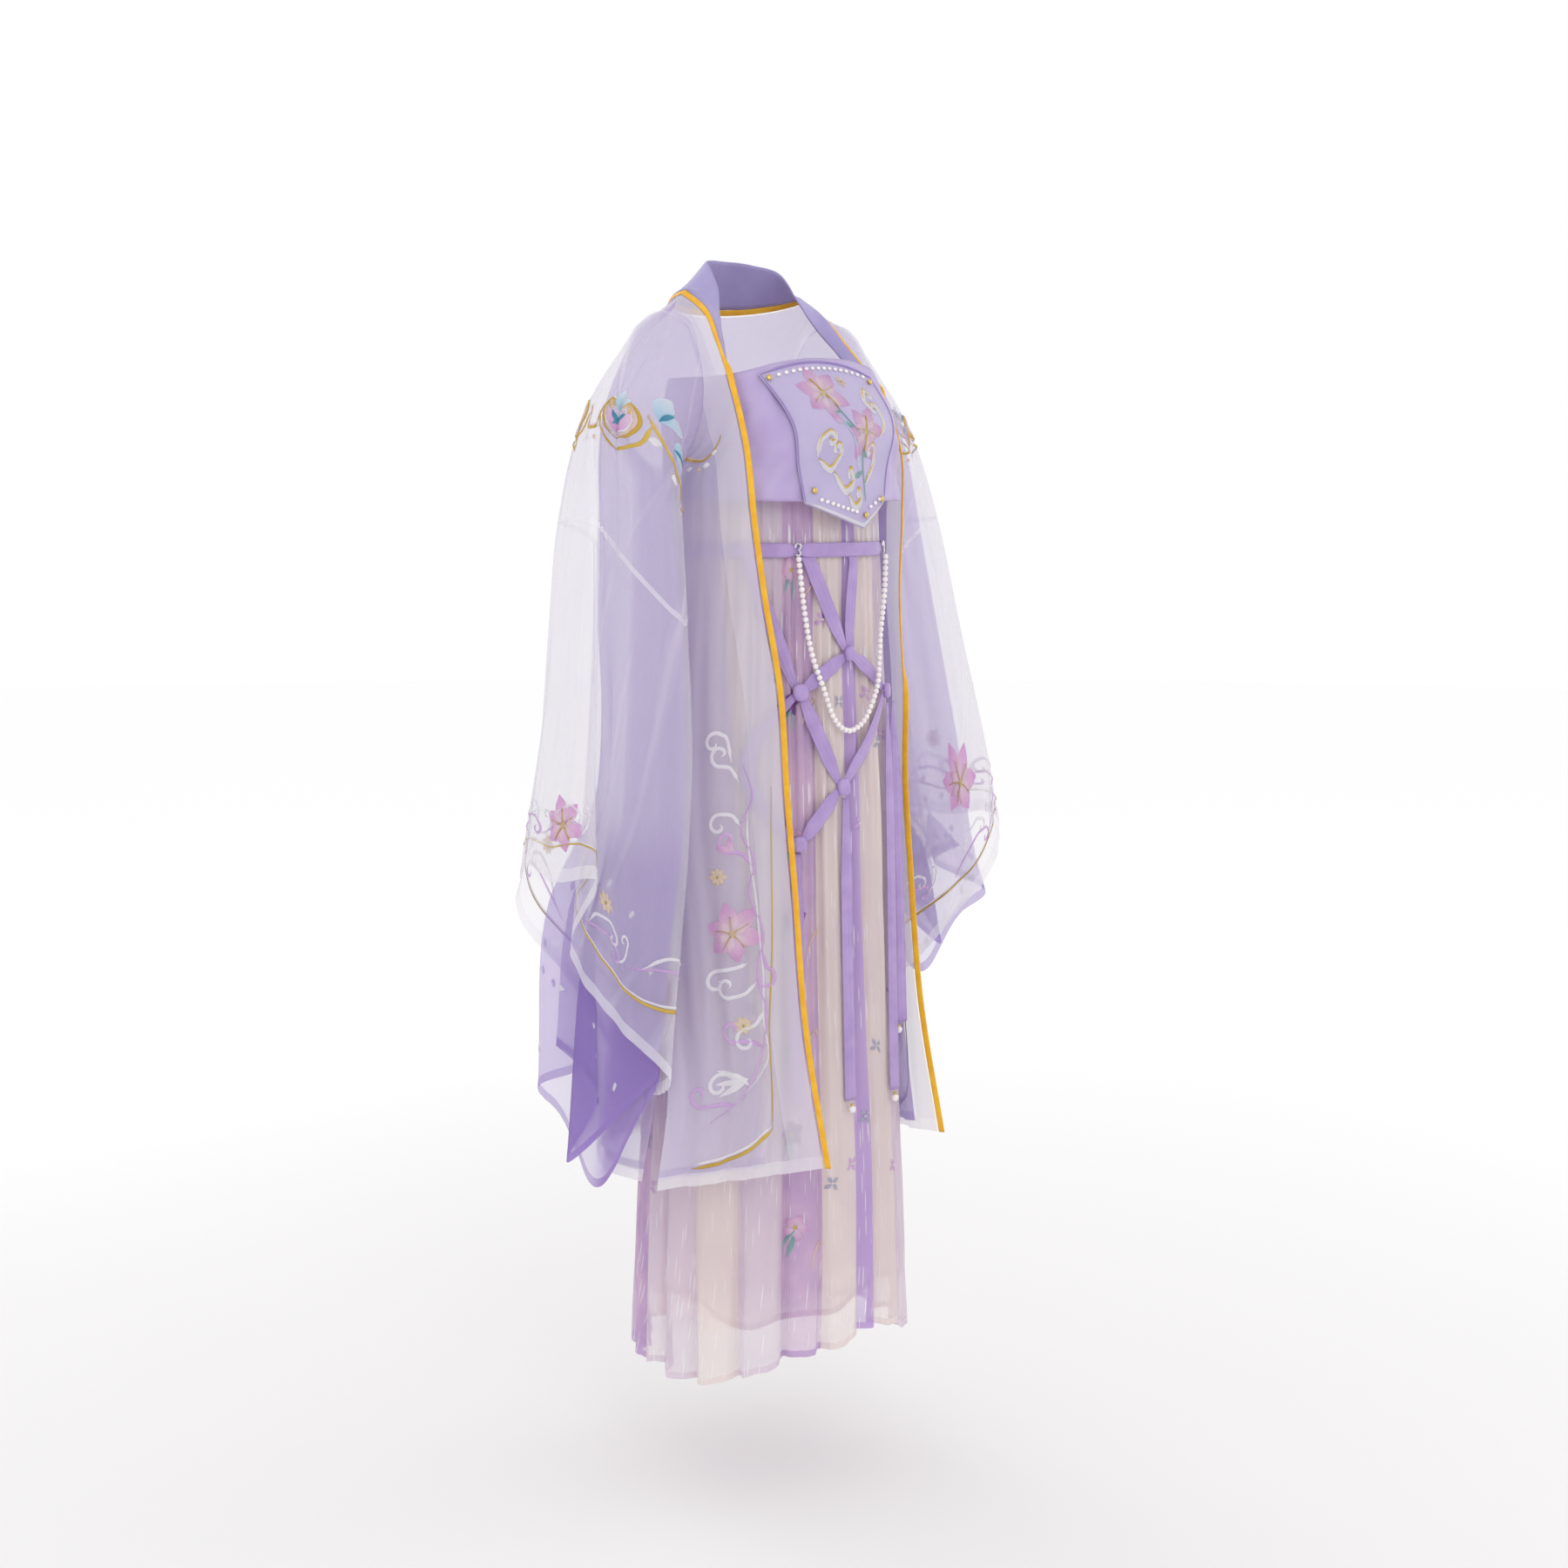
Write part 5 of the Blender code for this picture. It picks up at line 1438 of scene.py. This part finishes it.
def makeLinks():
    knotPlaces = {name: (angle, height) for name, angle, height, *_ in knots}
    into = netShape["into"]
    for seed, (name, angle1, height1, angle2, height2, bow) in enumerate(links):
        # each end runs on into its knot
        first, last = (knotPlaces.get(knot) for knot in name.split("_")[:2])
        if first:
            angle1, height1 = angle1 + (first[0] - angle1) * into, height1 + (first[1] - height1) * into
        angle2, height2 = angle2 + (last[0] - angle2) * into, height2 + (last[1] - height2) * into
        route = routed(angle1, height1, angle2, height2, 41, bow)
        grid = strip(route, netShape["ribbon"], netShape["stand"], 0.45 if first else 0.9, 0.45, seed)
        hang("link_" + name, grid, ribbon, "ribbon", ["net_" + name],
             wall=netShape["wall"])


def makeKnots():
    # three wraps of ribbon crossing over a rounded core
    base, faces = ball(1.0, 20, 14)
    up = np.array([0.0, 0.0, 1.0])
    for name, angle, height, halfWidth, halfHeight in knots:
        centre = columnPoint(angle, height, netShape["knotStand"])
        out = columnPoint(angle, height, 0.02) - centre
        out /= np.linalg.norm(out)
        side = np.cross(up, out)
        side /= np.linalg.norm(side)
        parts, sizes = [], [halfWidth, halfHeight, netShape["knotDepth"]]
        for tilt, swell in netShape["wraps"]:
            x, y, z = (np.sign(base) * np.abs(base) ** netShape["knotPower"]).T
            c, w = math.cos(tilt), math.sin(tilt)
            along, across = x * c - y * w, x * w + y * c
            groove = 1 - 0.16 * np.exp(-((along * 2.6) ** 2)) + 0.05 * np.cos(11 * across)
            spots = np.stack([x * swell * groove, y * swell, z * groove], axis=1) * sizes
            parts.append(centre + spots[:, :1] * side + spots[:, 1:2] * up + spots[:, 2:] * out)
        piece("knot_" + name, joinedMesh("knot_" + name, parts, faces), ribbon, "ribbon", "net_" + name)


def makeTails():
    width, radius = netShape["ribbon"] * netShape["tailWidth"], netShape["pearl"]
    for seed, (name, angle1, angle2, height1, height2, turn, stand) in enumerate(tails):
        grid = strip(routed(angle1, height1, angle2, height2, 81), width, stand, 0.5, 1.0, seed + 20, turn)
        hang("net_" + name + "_ribbon", grid, ribbon, "ribbon", ["net_" + name],
             wall=netShape["wall"])
        if name in pearlTails:
            end = columnPoint(angle2, height2 - 0.006 - radius, radius + 0.0010)
            pearl = beadMesh("tailPearl_" + name, [end], radius, segments=28, rings=18)
            piece("tailPearl_" + name, pearl, nacre, "pearl", "pearl_" + name)
            top = end + [0, 0, radius + 0.0005]
            cap = beadMesh("tailCap_" + name, [top], netShape["cap"], (1, 1, 0.8), None, 18, 10)
            piece("tailCap_" + name, cap, brass, "stud")


makeBelt()
makeLinks()
makeKnots()
makeTails()
for side in ("right", "left"):
    hook = bpy.data.objects["hook_" + side]
    hook.data.materials.clear()
    hook.data.materials.append(silver)
print("belt, net and hooks done")


# Threadwork: raised stitches laid on the cloth

threadLooks = {
    # name: root colour, tip colour, roughness, metallic
    "white": ((0.97, 0.96, 0.97), (0.94, 0.92, 0.95), 0.45, 0.0),
    "cream": ((0.92, 0.82, 0.66), (0.88, 0.72, 0.50), 0.45, 0.0),
    "peach": ((0.92, 0.66, 0.50), (0.90, 0.72, 0.60), 0.45, 0.0),
    "pink": ((0.96, 0.84, 0.90), (0.82, 0.44, 0.76), 0.42, 0.0),
    "blush": ((0.96, 0.90, 0.93), (0.92, 0.66, 0.82), 0.42, 0.0),
    "lilac": ((0.72, 0.48, 0.82), (0.82, 0.60, 0.86), 0.42, 0.0),
    "gold": ((0.66, 0.46, 0.10), (0.52, 0.33, 0.05), 0.34, 0.45),
    "teal": ((0.06, 0.30, 0.44), (0.16, 0.48, 0.62), 0.42, 0.0),
    "paleBlue": ((0.34, 0.66, 0.84), (0.86, 0.92, 0.95), 0.45, 0.0),
    "leaf": ((0.22, 0.44, 0.44), (0.40, 0.62, 0.58), 0.45, 0.0),
    "plum": ((0.20, 0.07, 0.30), (0.40, 0.20, 0.52), 0.45, 0.0),
    "slate": ((0.46, 0.48, 0.60), (0.60, 0.60, 0.70), 0.45, 0.0),
    "piping": ((0.52, 0.40, 0.76), (0.48, 0.36, 0.72), 0.45, 0.0),
}
stitch = {"lift": 0.0005, "pitch": 0.0006, "cord": 0.0024, "rise": 0.0010}


def threadFinish(name, root, tip, roughness, metallic):
    # satin stitch: close threads that run along each shape, paler or darker towards its tip
    made = Finish("thread_" + name, {"Sheen Weight": 0.25, "Sheen Roughness": 0.3, "Anisotropic": 0.4,
                                     "Metallic": metallic})
    run, share = made.layer("stitch"), made.layer("part")
    strand = (run.axis(1) * (2 * math.pi / stitch["pitch"])).sine()
    fleck = run.stretched((60.0, 900.0, 1.0)).noise(1.0, 2.0)
    made.feed("Base Color", (share.axis(0) + (fleck - 0.5) * 0.5).blend(root, tip))
    made.feed("Roughness", roughness + (fleck - 0.5) * 0.2)
    made.bump(strand * 0.5 + fleck * 0.5, 0.0003, 0.6)
    if not metallic:
        made.veil(1.0, 0.42, tip)
    return made.material


threadOf = {name: threadFinish(name, *look) for name, look in threadLooks.items()}


def petalSpots(length, width, tip, bend, point=0.8):
    # a petal from its root at 0, 0 along x: places in metres and its swell
    t, side = np.meshgrid(np.linspace(0, 1, 10), np.linspace(-1, 1, 7), indexing="ij")
    profile = np.sin(np.pi * np.clip(t, 0.03, 0.985) ** (0.75 + 0.5 * tip)) ** point
    x = t * length
    y = side * width / 2 * profile + bend * length * t**2
    return np.stack([x, y], axis=-1), profile * (1 - side**2)


def spiralSpots(centre, radius, turns, start, hand, count=26):
    t = np.linspace(0, 1, count)
    angle = math.radians(start) + hand * 2 * math.pi * turns * t
    reach = radius * (1 - 0.86 * t)
    return np.stack([centre[0] + reach * np.cos(angle), centre[1] + reach * np.sin(angle)], axis=-1)


def turnedSpots(spots, degrees):
    c, s = math.cos(math.radians(degrees)), math.sin(math.radians(degrees))
    return np.stack([c * spots[..., 0] - s * spots[..., 1], s * spots[..., 0] + c * spots[..., 1]], axis=-1)


class Needlework:
    # stitches on one cloth; motifs are drawn in metres right and down from an anchor on it
    def __init__(self, name, sheet, slotName, closed=False, lift=stitch["lift"]):
        self.name, self.slotName, self.closed, self.lift = name, slotName, closed, lift
        self.grid = sheets[sheet]
        self.normals = gridNormals(self.grid, closed)
        self.points, self.faces, self.used, self.layers = [], [], [], {"stitch": [], "part": []}
        self.names, self.count = [], 0
        self.anchor(0.5, 0.5)

    def surface(self, places):
        rows, columns = self.grid.shape[:2]
        u = places[..., 0] * (columns if self.closed else columns - 1)
        u = u if self.closed else np.clip(u, 0, columns - 1.001)
        v = np.clip(places[..., 1] * (rows - 1), 0, rows - 1.001)
        j, i = np.floor(u).astype(int), np.floor(v).astype(int)
        s, t = (u - j)[..., None], (v - i)[..., None]
        near, far = j % columns, (j + 1) % columns
        found = []
        for field in (self.grid, self.normals):
            high = field[i, near] * (1 - s) + field[i, far] * s
            low = field[i + 1, near] * (1 - s) + field[i + 1, far] * s
            found.append(high * (1 - t) + low * t)
        return found

    def anchor(self, across, down, flip=1.0, size=1.0):
        # where the next motifs are drawn; flip -1 mirrors them
        step = 0.012
        self.origin = np.array([across, down])
        ends = self.origin + step * np.array([[-1, 0], [1, 0], [0, -1], [0, 1]])
        place = self.surface(ends if self.closed else np.clip(ends, 0.0, 1.0))[0]
        self.spans = np.linalg.norm(place[1::2] - place[::2], axis=1) / (2 * step)
        self.flip, self.size = flip, size

    def lay(self, thread, spots, swell, local=True):
        # one patch of stitches, rows along it and columns across it
        spots = np.asarray(spots, float)
        if local:
            spots = self.origin + spots * self.size * [self.flip, 1.0] / self.spans
        points, normals = self.surface(spots)
        points = points + normals * (self.lift + swell)[..., None]
        rows, columns = points.shape[:2]
        first = points[1, 0] - points[0, 0], points[0, 1] - points[0, 0]
        backwards = np.dot(np.cross(*first), normals[0, 0]) < 0
        across, down = arcs(points)
        share = np.broadcast_to(np.linspace(0, 1, rows)[:, None], across.shape)
        if thread not in self.names:
            self.names.append(thread)
        for i in range(rows - 1):
            for j in range(columns - 1):
                corner = [(i, j), (i + 1, j), (i + 1, j + 1), (i, j + 1)]
                corner = corner[::-1] if backwards else corner
                self.faces.append([self.count + a * columns + b for a, b in corner])
                self.used.append(self.names.index(thread))
                self.layers["stitch"].extend([(down[c], across[c]) for c in corner])
                self.layers["part"].extend([(share[c], 0.0) for c in corner])
        self.points.append(points.reshape(-1, 3))
        self.count += rows * columns

    def cord(self, thread, spots, width=stitch["cord"], rise=stitch["rise"], steps=44, local=True,
             smooth=True):
        # a raised line of stitches, narrow at both ends
        path = np.array(smoothPath([tuple(spot) for spot in spots], steps) if smooth else spots, float)
        spans = np.ones(2) if local else self.spans
        along = np.gradient(path * spans, axis=0)
        along /= np.maximum(np.linalg.norm(along, axis=1, keepdims=True), 1e-9)
        side = np.stack([-along[:, 1], along[:, 0]], axis=-1)
        t = np.linspace(0, 1, len(path))
        half = width / 2 * np.clip(np.minimum(t, 1 - t) / 0.12, 0.25, 1.0)
        s = np.linspace(-1, 1, 5)
        places = path[:, None] + side[:, None] * (half[:, None] * s)[..., None] / spans
        self.lay(thread, places, rise * (1 - s**2)[None, :] * np.ones((len(path), 1)), local)

    def petal(self, thread, root, degrees, length, width, tip=0.4, bend=0.0, rise=0.0011, point=0.8):
        spots, swell = petalSpots(length, width, tip, bend, point)
        self.lay(thread, turnedSpots(spots, degrees) + root, swell * rise)

    def dot(self, thread, centre, wide, tall=None, rise=0.0014):
        spots, swell = petalSpots(wide, tall or wide, 0.35, 0.0)
        self.lay(thread, spots + [centre[0] - wide / 2, centre[1]], swell * rise)

    def blossom(self, thread, centre, radius, petals=6, turn=0.0, slim=0.62, heart="gold", stamens=0,
                tip=0.7):
        centre, width = np.array(centre), radius * slim
        for k in range(petals):
            a = turn + 360 * k / petals + 5 * math.sin(7 * k)
            root = centre + turnedSpots(np.array([radius * 0.06, 0.0]), a)
            length = radius * (0.94 + 0.10 * math.sin(5 * k + 1))
            self.petal(thread, root, a, length, width, tip, 0.06, 0.0009 + 0.0003 * (k % 2), 1.1)
            if stamens:
                between = a + 180 / petals
                self.petal("blush", root, between, length * 0.66, width * 0.62, tip, -0.05, 0.0019, 1.1)
        for k in range(stamens):
            a = turn + 40 + 280 * k / max(stamens - 1, 1)
            end = centre + turnedSpots(np.array([radius * 0.62, 0.0]), a)
            self.cord("gold", [centre, (centre + end) / 2 + [0, -radius * 0.04], end], 0.0011, 0.0024, 10)
        self.dot(heart, centre, radius * 0.30, rise=0.0022)

    def scroll(self, thread, spots, hand=1, radius=0.008, width=stitch["cord"], turns=0.9):
        # a stem that winds up into a curl at its far end
        last, before = np.array(spots[-1]), np.array(spots[-2])
        heading = math.degrees(math.atan2(*(last - before)[::-1]))
        centre = last + turnedSpots(np.array([0.0, hand * radius]), heading)
        curl = spiralSpots(centre, radius, turns, heading - 90 * hand, hand, 22)
        stem = np.array(smoothPath([tuple(spot) for spot in spots], 30))
        self.cord(thread, np.concatenate([stem[:-1], curl]), width, smooth=False)

    def finish(self):
        mesh = bpy.data.meshes.new(self.name)
        mesh.from_pydata(np.concatenate(self.points).tolist(), [], self.faces)
        mesh.polygons.foreach_set("material_index", self.used)
        for label, values in self.layers.items():
            layer = mesh.uv_layers.new(name=label)
            layer.data.foreach_set("uv", np.array(values, np.float32).ravel())
        mesh.shade_smooth()
        for name in self.names[:-1]:
            mesh.materials.append(threadOf[name])
        piece(self.name, mesh, threadOf[self.names[-1]], self.slotName)


def cloudHead(work):
    # the old cloud shape: two curls that run down to one point, with leaves above
    shape = ((0.006, -0.010), (0.012, -0.019), (0.022, -0.016), (0.026, -0.002), (0.018, 0.014), (0.0, 0.027))
    for hand in (-1, 1):
        for thread, grow, width in (("gold", 1.0, 0.0034), ("peach", 0.87, 0.0030), ("white", 0.75, 0.0026)):
            centre, start = (hand * 0.0125 * grow, -0.0105 * grow), 180 if hand > 0 else 0
            curl = spiralSpots(centre, 0.0065 * grow, 0.8, start, hand, 18)[::-1]
            outline = smoothPath([(hand * x * grow, y * grow) for x, y in shape], 34)
            work.cord(thread, np.concatenate([curl[:-1], outline]), width, 0.0014, smooth=False)
        heading = math.degrees(math.atan2(0.034, -hand * 0.018))
        work.petal("pink", (hand * 0.019, -0.011), heading, 0.036, 0.012, 0.3, 0.10 * hand)
        work.petal("teal", (hand * 0.010, -0.006), heading + 8 * hand, 0.024, 0.006, 0.3, 0.12 * hand, 0.0019)
        under = ((0.034, -0.004), (0.028, 0.016), (0.012, 0.031), (0.0, 0.040))
        work.cord("gold", [(hand * x, y) for x, y in under], 0.0032)
    for degrees, length in ((-90, 0.026), (-128, 0.020), (-52, 0.020)):
        work.petal("paleBlue", (0.0, -0.008), degrees, length, 0.011, 0.8)


def garland(work, spots, beads, drop=0.012):
    # a gold swag with a row of round stitches under it
    work.cord("peach", [(x, y - 0.0024) for x, y in spots], 0.0026)
    work.cord("gold", spots, 0.0030, 0.0012)
    line = np.array(smoothPath(spots, beads * 2 + 1))[1::2]
    for k, (x, y) in enumerate(line):
        work.dot("peach" if k % 3 == 2 else "white", (x, y + drop), 0.0062 if k % 3 == 2 else 0.0086)


def leafPair(work, root, degrees, length):
    for turn, share in ((-24, 1.0), (22, 0.8)):
        work.petal("paleBlue", root, degrees + turn, length * share, length * 0.42, 0.8, 0.08)
    work.petal("teal", root, degrees, length * 0.62, length * 0.16, 0.6, 0.0, 0.0020)


def makeShoulders():
    for label, place, flip in (("right", 0.335, 1.0), ("left", 0.80, -1.0)):
        work = Needlework("threadShoulder_" + label, "sleeve_" + label, "organza", True)
        work.anchor(place, 0.215, flip)
        cloudHead(work)
        garland(work, ((0.030, -0.014), (0.044, 0.010), (0.062, 0.030), (0.080, 0.040)), 3)
        leafPair(work, (0.038, -0.014), -66, 0.040)
        leafPair(work, (0.052, 0.006), -24, 0.036)
        work.anchor(place - flip * 0.26, 0.215, flip)
        cloudHead(work)
        garland(work, ((0.034, -0.012), (0.048, 0.014), (0.066, 0.014), (0.082, -0.010)), 4)
        work.finish()
        front = Needlework("threadYoke_" + label, "robeFront_" + label, "organza")
        front.anchor(0.42, 0.205, flip)
        swag = ((-0.034, -0.004), (-0.014, 0.004), (0.004, 0.010), (0.016, 0.004), (0.024, -0.022))
        garland(front, swag, 5)
        front.finish()


def makeFrontBorder(label, flip):
    work = Needlework("threadBorder_" + label, "robeFront_" + label, "organza")
    turn = (lambda u: u) if flip > 0 else (lambda u: 1 - u)
    facing = ((0.93, 0.577), (0.885, 0.669), (0.84, 0.766), (0.775, 0.850), (0.745, 0.908), (0.72, 0.950))
    work.anchor(turn(0.8), 0.8, flip)
    work.cord("gold", [(turn(u), v) for u, v in facing], 0.0018, 0.0008, 90, local=False)
    sweep = ((0.72, 0.950), (0.60, 0.965), (0.42, 0.977), (0.20, 0.981))
    work.cord("gold", [(turn(u), v) for u, v in sweep], 0.0044, 0.0014, 60, local=False)
    work.cord("white", [(turn(u), v - 0.0045) for u, v in sweep], 0.0036, 0.0012, 60, local=False)
    work.anchor(turn(0.60), 0.70, flip)
    stem = ((0.024, -0.170), (0.034, -0.130), (0.016, -0.090), (0.030, -0.050), (0.020, -0.010),
            (0.034, 0.040), (0.022, 0.090), (0.030, 0.140), (0.016, 0.190), (-0.010, 0.235), (-0.050, 0.262))
    work.cord("lilac", stem, 0.0028, 0.0010, 120)
    beside = [(x + (0.008 if k % 2 else -0.005), y + 0.006) for k, (x, y) in enumerate(stem[1:-1])]
    work.cord("white", beside, 0.0026, 0.0009, 110)
    for x, y, dx, dy, hand, thread in (
            (0.018, -0.150, -0.026, -0.022, 1, "white"), (0.016, -0.095, -0.024, -0.018, -1, "white"),
            (0.026, -0.045, -0.030, -0.020, 1, "lilac"), (0.020, 0.100, -0.034, 0.014, 1, "white"),
            (0.026, 0.135, -0.028, 0.020, -1, "white"), (0.020, 0.180, -0.036, -0.012, 1, "lilac"),
            (0.000, 0.225, -0.036, -0.020, -1, "white"), (0.030, 0.060, 0.010, 0.026, 1, "lilac"),
            (0.010, -0.175, -0.012, -0.036, -1, "white"), (0.012, 0.075, -0.042, 0.004, -1, "white"),
            (-0.020, 0.245, -0.044, -0.004, 1, "lilac")):
        work.scroll(thread, ((x, y), (x + dx * 0.4, y + dy * 0.8), (x + dx, y + dy)), hand, 0.0145, 0.0048)
    work.blossom("pink", (-0.004, 0.036), 0.037, 6, 15, 0.60, "cream", 5)
    work.blossom("cream", (-0.018, -0.036), 0.0125, 8, 0, 0.50, "gold")
    work.blossom("cream", (0.000, 0.150), 0.0125, 8, 20, 0.50, "gold")
    work.petal("pink", (0.004, -0.062), -150, 0.024, 0.010, 0.8)
    work.petal("pink", (0.004, -0.062), -105, 0.020, 0.009, 0.8)
    for degrees in (150, 172, 196):
        work.petal("white", (-0.002, 0.215), degrees, 0.040, 0.008, 0.6, 0.10)
    work.finish()


cuffPlaces = {
    # first motif across the sleeve, its pink blossom's shift down in metres and up as a share of the sleeve
    "right": (0.12, -0.015, 0.0),
    "left": (0.86, -0.050, 0.075),
}
cuffScrolls = (
    ("lilac", ((-0.044, 0.006), (-0.020, -0.008), (0.006, -0.016), (0.026, -0.010)), 1, 0.0105, 0.0032),
    ("white", ((-0.030, -0.004), (-0.014, -0.026), (0.010, -0.034), (0.024, -0.026)), 1, 0.0095, 0.0038),
    ("white", ((0.030, 0.004), (0.044, -0.006), (0.050, -0.022)), -1, 0.0085, 0.0032),
)


cuffRows = {"rim": 0.930, "motifs": 0.905, "wave": 0.010}  # as shares of the sleeve, from the top


def cuffWave(u):
    return cuffRows["wave"] * math.sin(2 * math.pi * 5 * u + 0.6)


def makeCuffs():
    for label, (first, below, above) in cuffPlaces.items():
        work = Needlework("threadCuff_" + label, "sleeve_" + label, "organza", True)
        work.anchor(0.4, 0.93)
        rim = [(u, cuffRows["rim"] + cuffWave(u)) for u in np.linspace(0.0, 1.0, 61)]
        for thread, shift, width in (("gold", 0.0, 0.0034), ("white", -0.0042, 0.0024)):
            work.cord(thread, [(u, v + shift) for u, v in rim], width, 0.0012, 420, local=False)
        for k in range(8):
            u = first + k / 8
            work.anchor(u, cuffRows["motifs"] + cuffWave(u))
            for scroll in cuffScrolls:
                work.scroll(*scroll)
            if k % 4 == 0:
                work.anchor(u, cuffRows["motifs"] - above)
                work.blossom("pink", (-0.004, below), 0.034, 6, 15 + 20 * k, 0.60, "cream", 5)
            elif k % 2 == 0:
                work.blossom("cream", (0.004, -0.052), 0.0125, 8, 10, 0.50, "gold")
        work.finish()


def makeChestThreads():
    work = Needlework("threadChest", "chestPanel", "panel")
    work.anchor(0.5, 0.5)
    edge = np.concatenate([np.linspace(0.01, 0.66, 12), np.linspace(0.68, 0.99, 8)])
    work.cord("white", [(u, 0.985) for u in edge], 0.0034, 0.0014, 120, local=False)
    work.cord("piping", [(u, 0.012) for u in np.linspace(0.005, 0.995, 16)], 0.0036, 0.0016, 90, local=False)
    for u in (0.008, 0.992):
        work.cord("piping", [(u, v) for v in np.linspace(0.02, 0.98, 12)], 0.0020, 0.0010, 70, local=False)
    stem = ((-0.030, -0.046), (-0.012, -0.014), (0.012, 0.012), (0.026, 0.036), (0.034, 0.070))
    work.cord("leaf", stem, 0.0020)
    work.cord("paleBlue", ((-0.034, -0.040), (-0.018, -0.008), (0.006, 0.020), (0.022, 0.050)), 0.0016)
    leaves = ((-0.016, -0.020, 170), (0.000, 0.002, 200), (0.018, 0.026, 20), (0.028, 0.046, 160))
    for x, y, degrees in leaves:
        work.petal("leaf", (x, y), degrees, 0.018, 0.0050, 0.7, 0.12)
    work.blossom("pink", (-0.030, -0.044), 0.036, 6, 20, 0.54, "cream", 4, 0.9)
    work.blossom("pink", (0.024, 0.006), 0.034, 6, 50, 0.54, "cream", 4, 0.9)
    work.petal("pink", (-0.018, -0.004), 215, 0.018, 0.008, 0.9)
    work.petal("lilac", (-0.018, -0.004), 240, 0.014, 0.006, 0.9)
    work.blossom("cream", (0.014, -0.060), 0.0085, 5, 0, 0.5, "gold")
    for thread, shift, width in (("white", 0.0, 0.0076), ("gold", -0.0024, 0.0032)):
        for spots, hand, radius in (
                (((-0.062, 0.032), (-0.058, 0.014), (-0.046, 0.006)), 1, 0.0095),
                (((-0.060, 0.036), (-0.040, 0.045), (-0.024, 0.034)), -1, 0.0090),
                (((-0.034, 0.048), (-0.014, 0.062), (0.002, 0.058)), -1, 0.0080),
                (((-0.006, 0.066), (0.008, 0.074), (0.020, 0.070)), -1, 0.0055),
                (((0.034, 0.058), (0.050, 0.042), (0.048, 0.026)), -1, 0.0085),
                (((0.054, 0.010), (0.065, -0.010), (0.059, -0.029)), -1, 0.0085),
                (((0.048, -0.024), (0.038, -0.036), (0.046, -0.050)), 1, 0.0065)):
            work.scroll(thread, [(x, y + shift) for x, y in spots], hand, radius, width)
    work.finish()
    pearls = [(u, 0.055 + 0.01 * math.sin(math.pi * u)) for u in np.linspace(0.10, 0.88, 15)]
    pearls += [(u, 0.935) for u in np.linspace(0.16, 0.56, 8)]
    pearls += [(u, 0.930) for u in np.linspace(0.76, 0.90, 3)]
    centres, outward = work.surface(np.array(pearls))
    headings = [Vector(n).normalized() for n in outward]
    beads = beadMesh("chestPearls", centres + outward * 0.0014, 0.0024, (1.25, 1.0, 0.8), headings, 18, 12)
    piece("chestPearls", beads, nacre, "pearl")


def makeSkirtThreads():
    chance = np.random.default_rng(17)
    for name, colour, pleats in skirtPanels:
        printed = name == "printed_front"
        work = Needlework("thread_" + name, "skirt_" + name, "skirt_" + colour, lift=0.0007)
        rows = 7 if printed else 2
        for k in range(pleats * rows):
            u = (0.5 + k % pleats) / pleats + chance.uniform(-0.05, 0.05)
            v = (k // pleats + chance.uniform(0.2, 0.8)) / rows
            work.anchor(min(max(u, 0.06), 0.94), 0.06 + 0.86 * v)
            turn = chance.uniform(0, 90)
            if printed and k % 2 == 0:
                work.petal("leaf", (0.0, 0.004), 70 + turn * 0.4, 0.034, 0.006, 0.7, 0.1)
                work.petal("leaf", (0.0, 0.004), 110 + turn * 0.4, 0.026, 0.005, 0.7, -0.1)
                work.blossom("plum" if k % 4 else "pink", (0.0, 0.0), 0.018, 5, turn, 0.7, "gold")
            elif printed:
                work.scroll("cream", ((-0.008, 0.020), (-0.004, 0.004), (0.004, -0.008)), 1, 0.005, 0.0014)
            else:
                thread = "slate" if k % 3 else "lilac"
                work.blossom(thread, (0.0, 0.0), 0.0115, 4, 45 + 0.2 * turn, 0.5, "white")
        work.finish()


def makeLiningDots():
    chance = np.random.default_rng(29)
    for label in ("right", "left"):
        work = Needlework("threadDots_" + label, "liningSleeve_" + label, "lining", True)
        for k in range(34):
            work.anchor((k * 0.382 + chance.uniform(-0.03, 0.03)) % 1.0, 0.70 + 0.27 * chance.uniform())
            work.dot("white", (0.0, 0.0), 0.0075, 0.0110, 0.0008)
        work.finish()


makeShoulders()
makeLiningDots()
makeFrontBorder("right", 1.0)
makeFrontBorder("left", -1.0)
makeCuffs()
makeChestThreads()
makeSkirtThreads()
print("threadwork done")
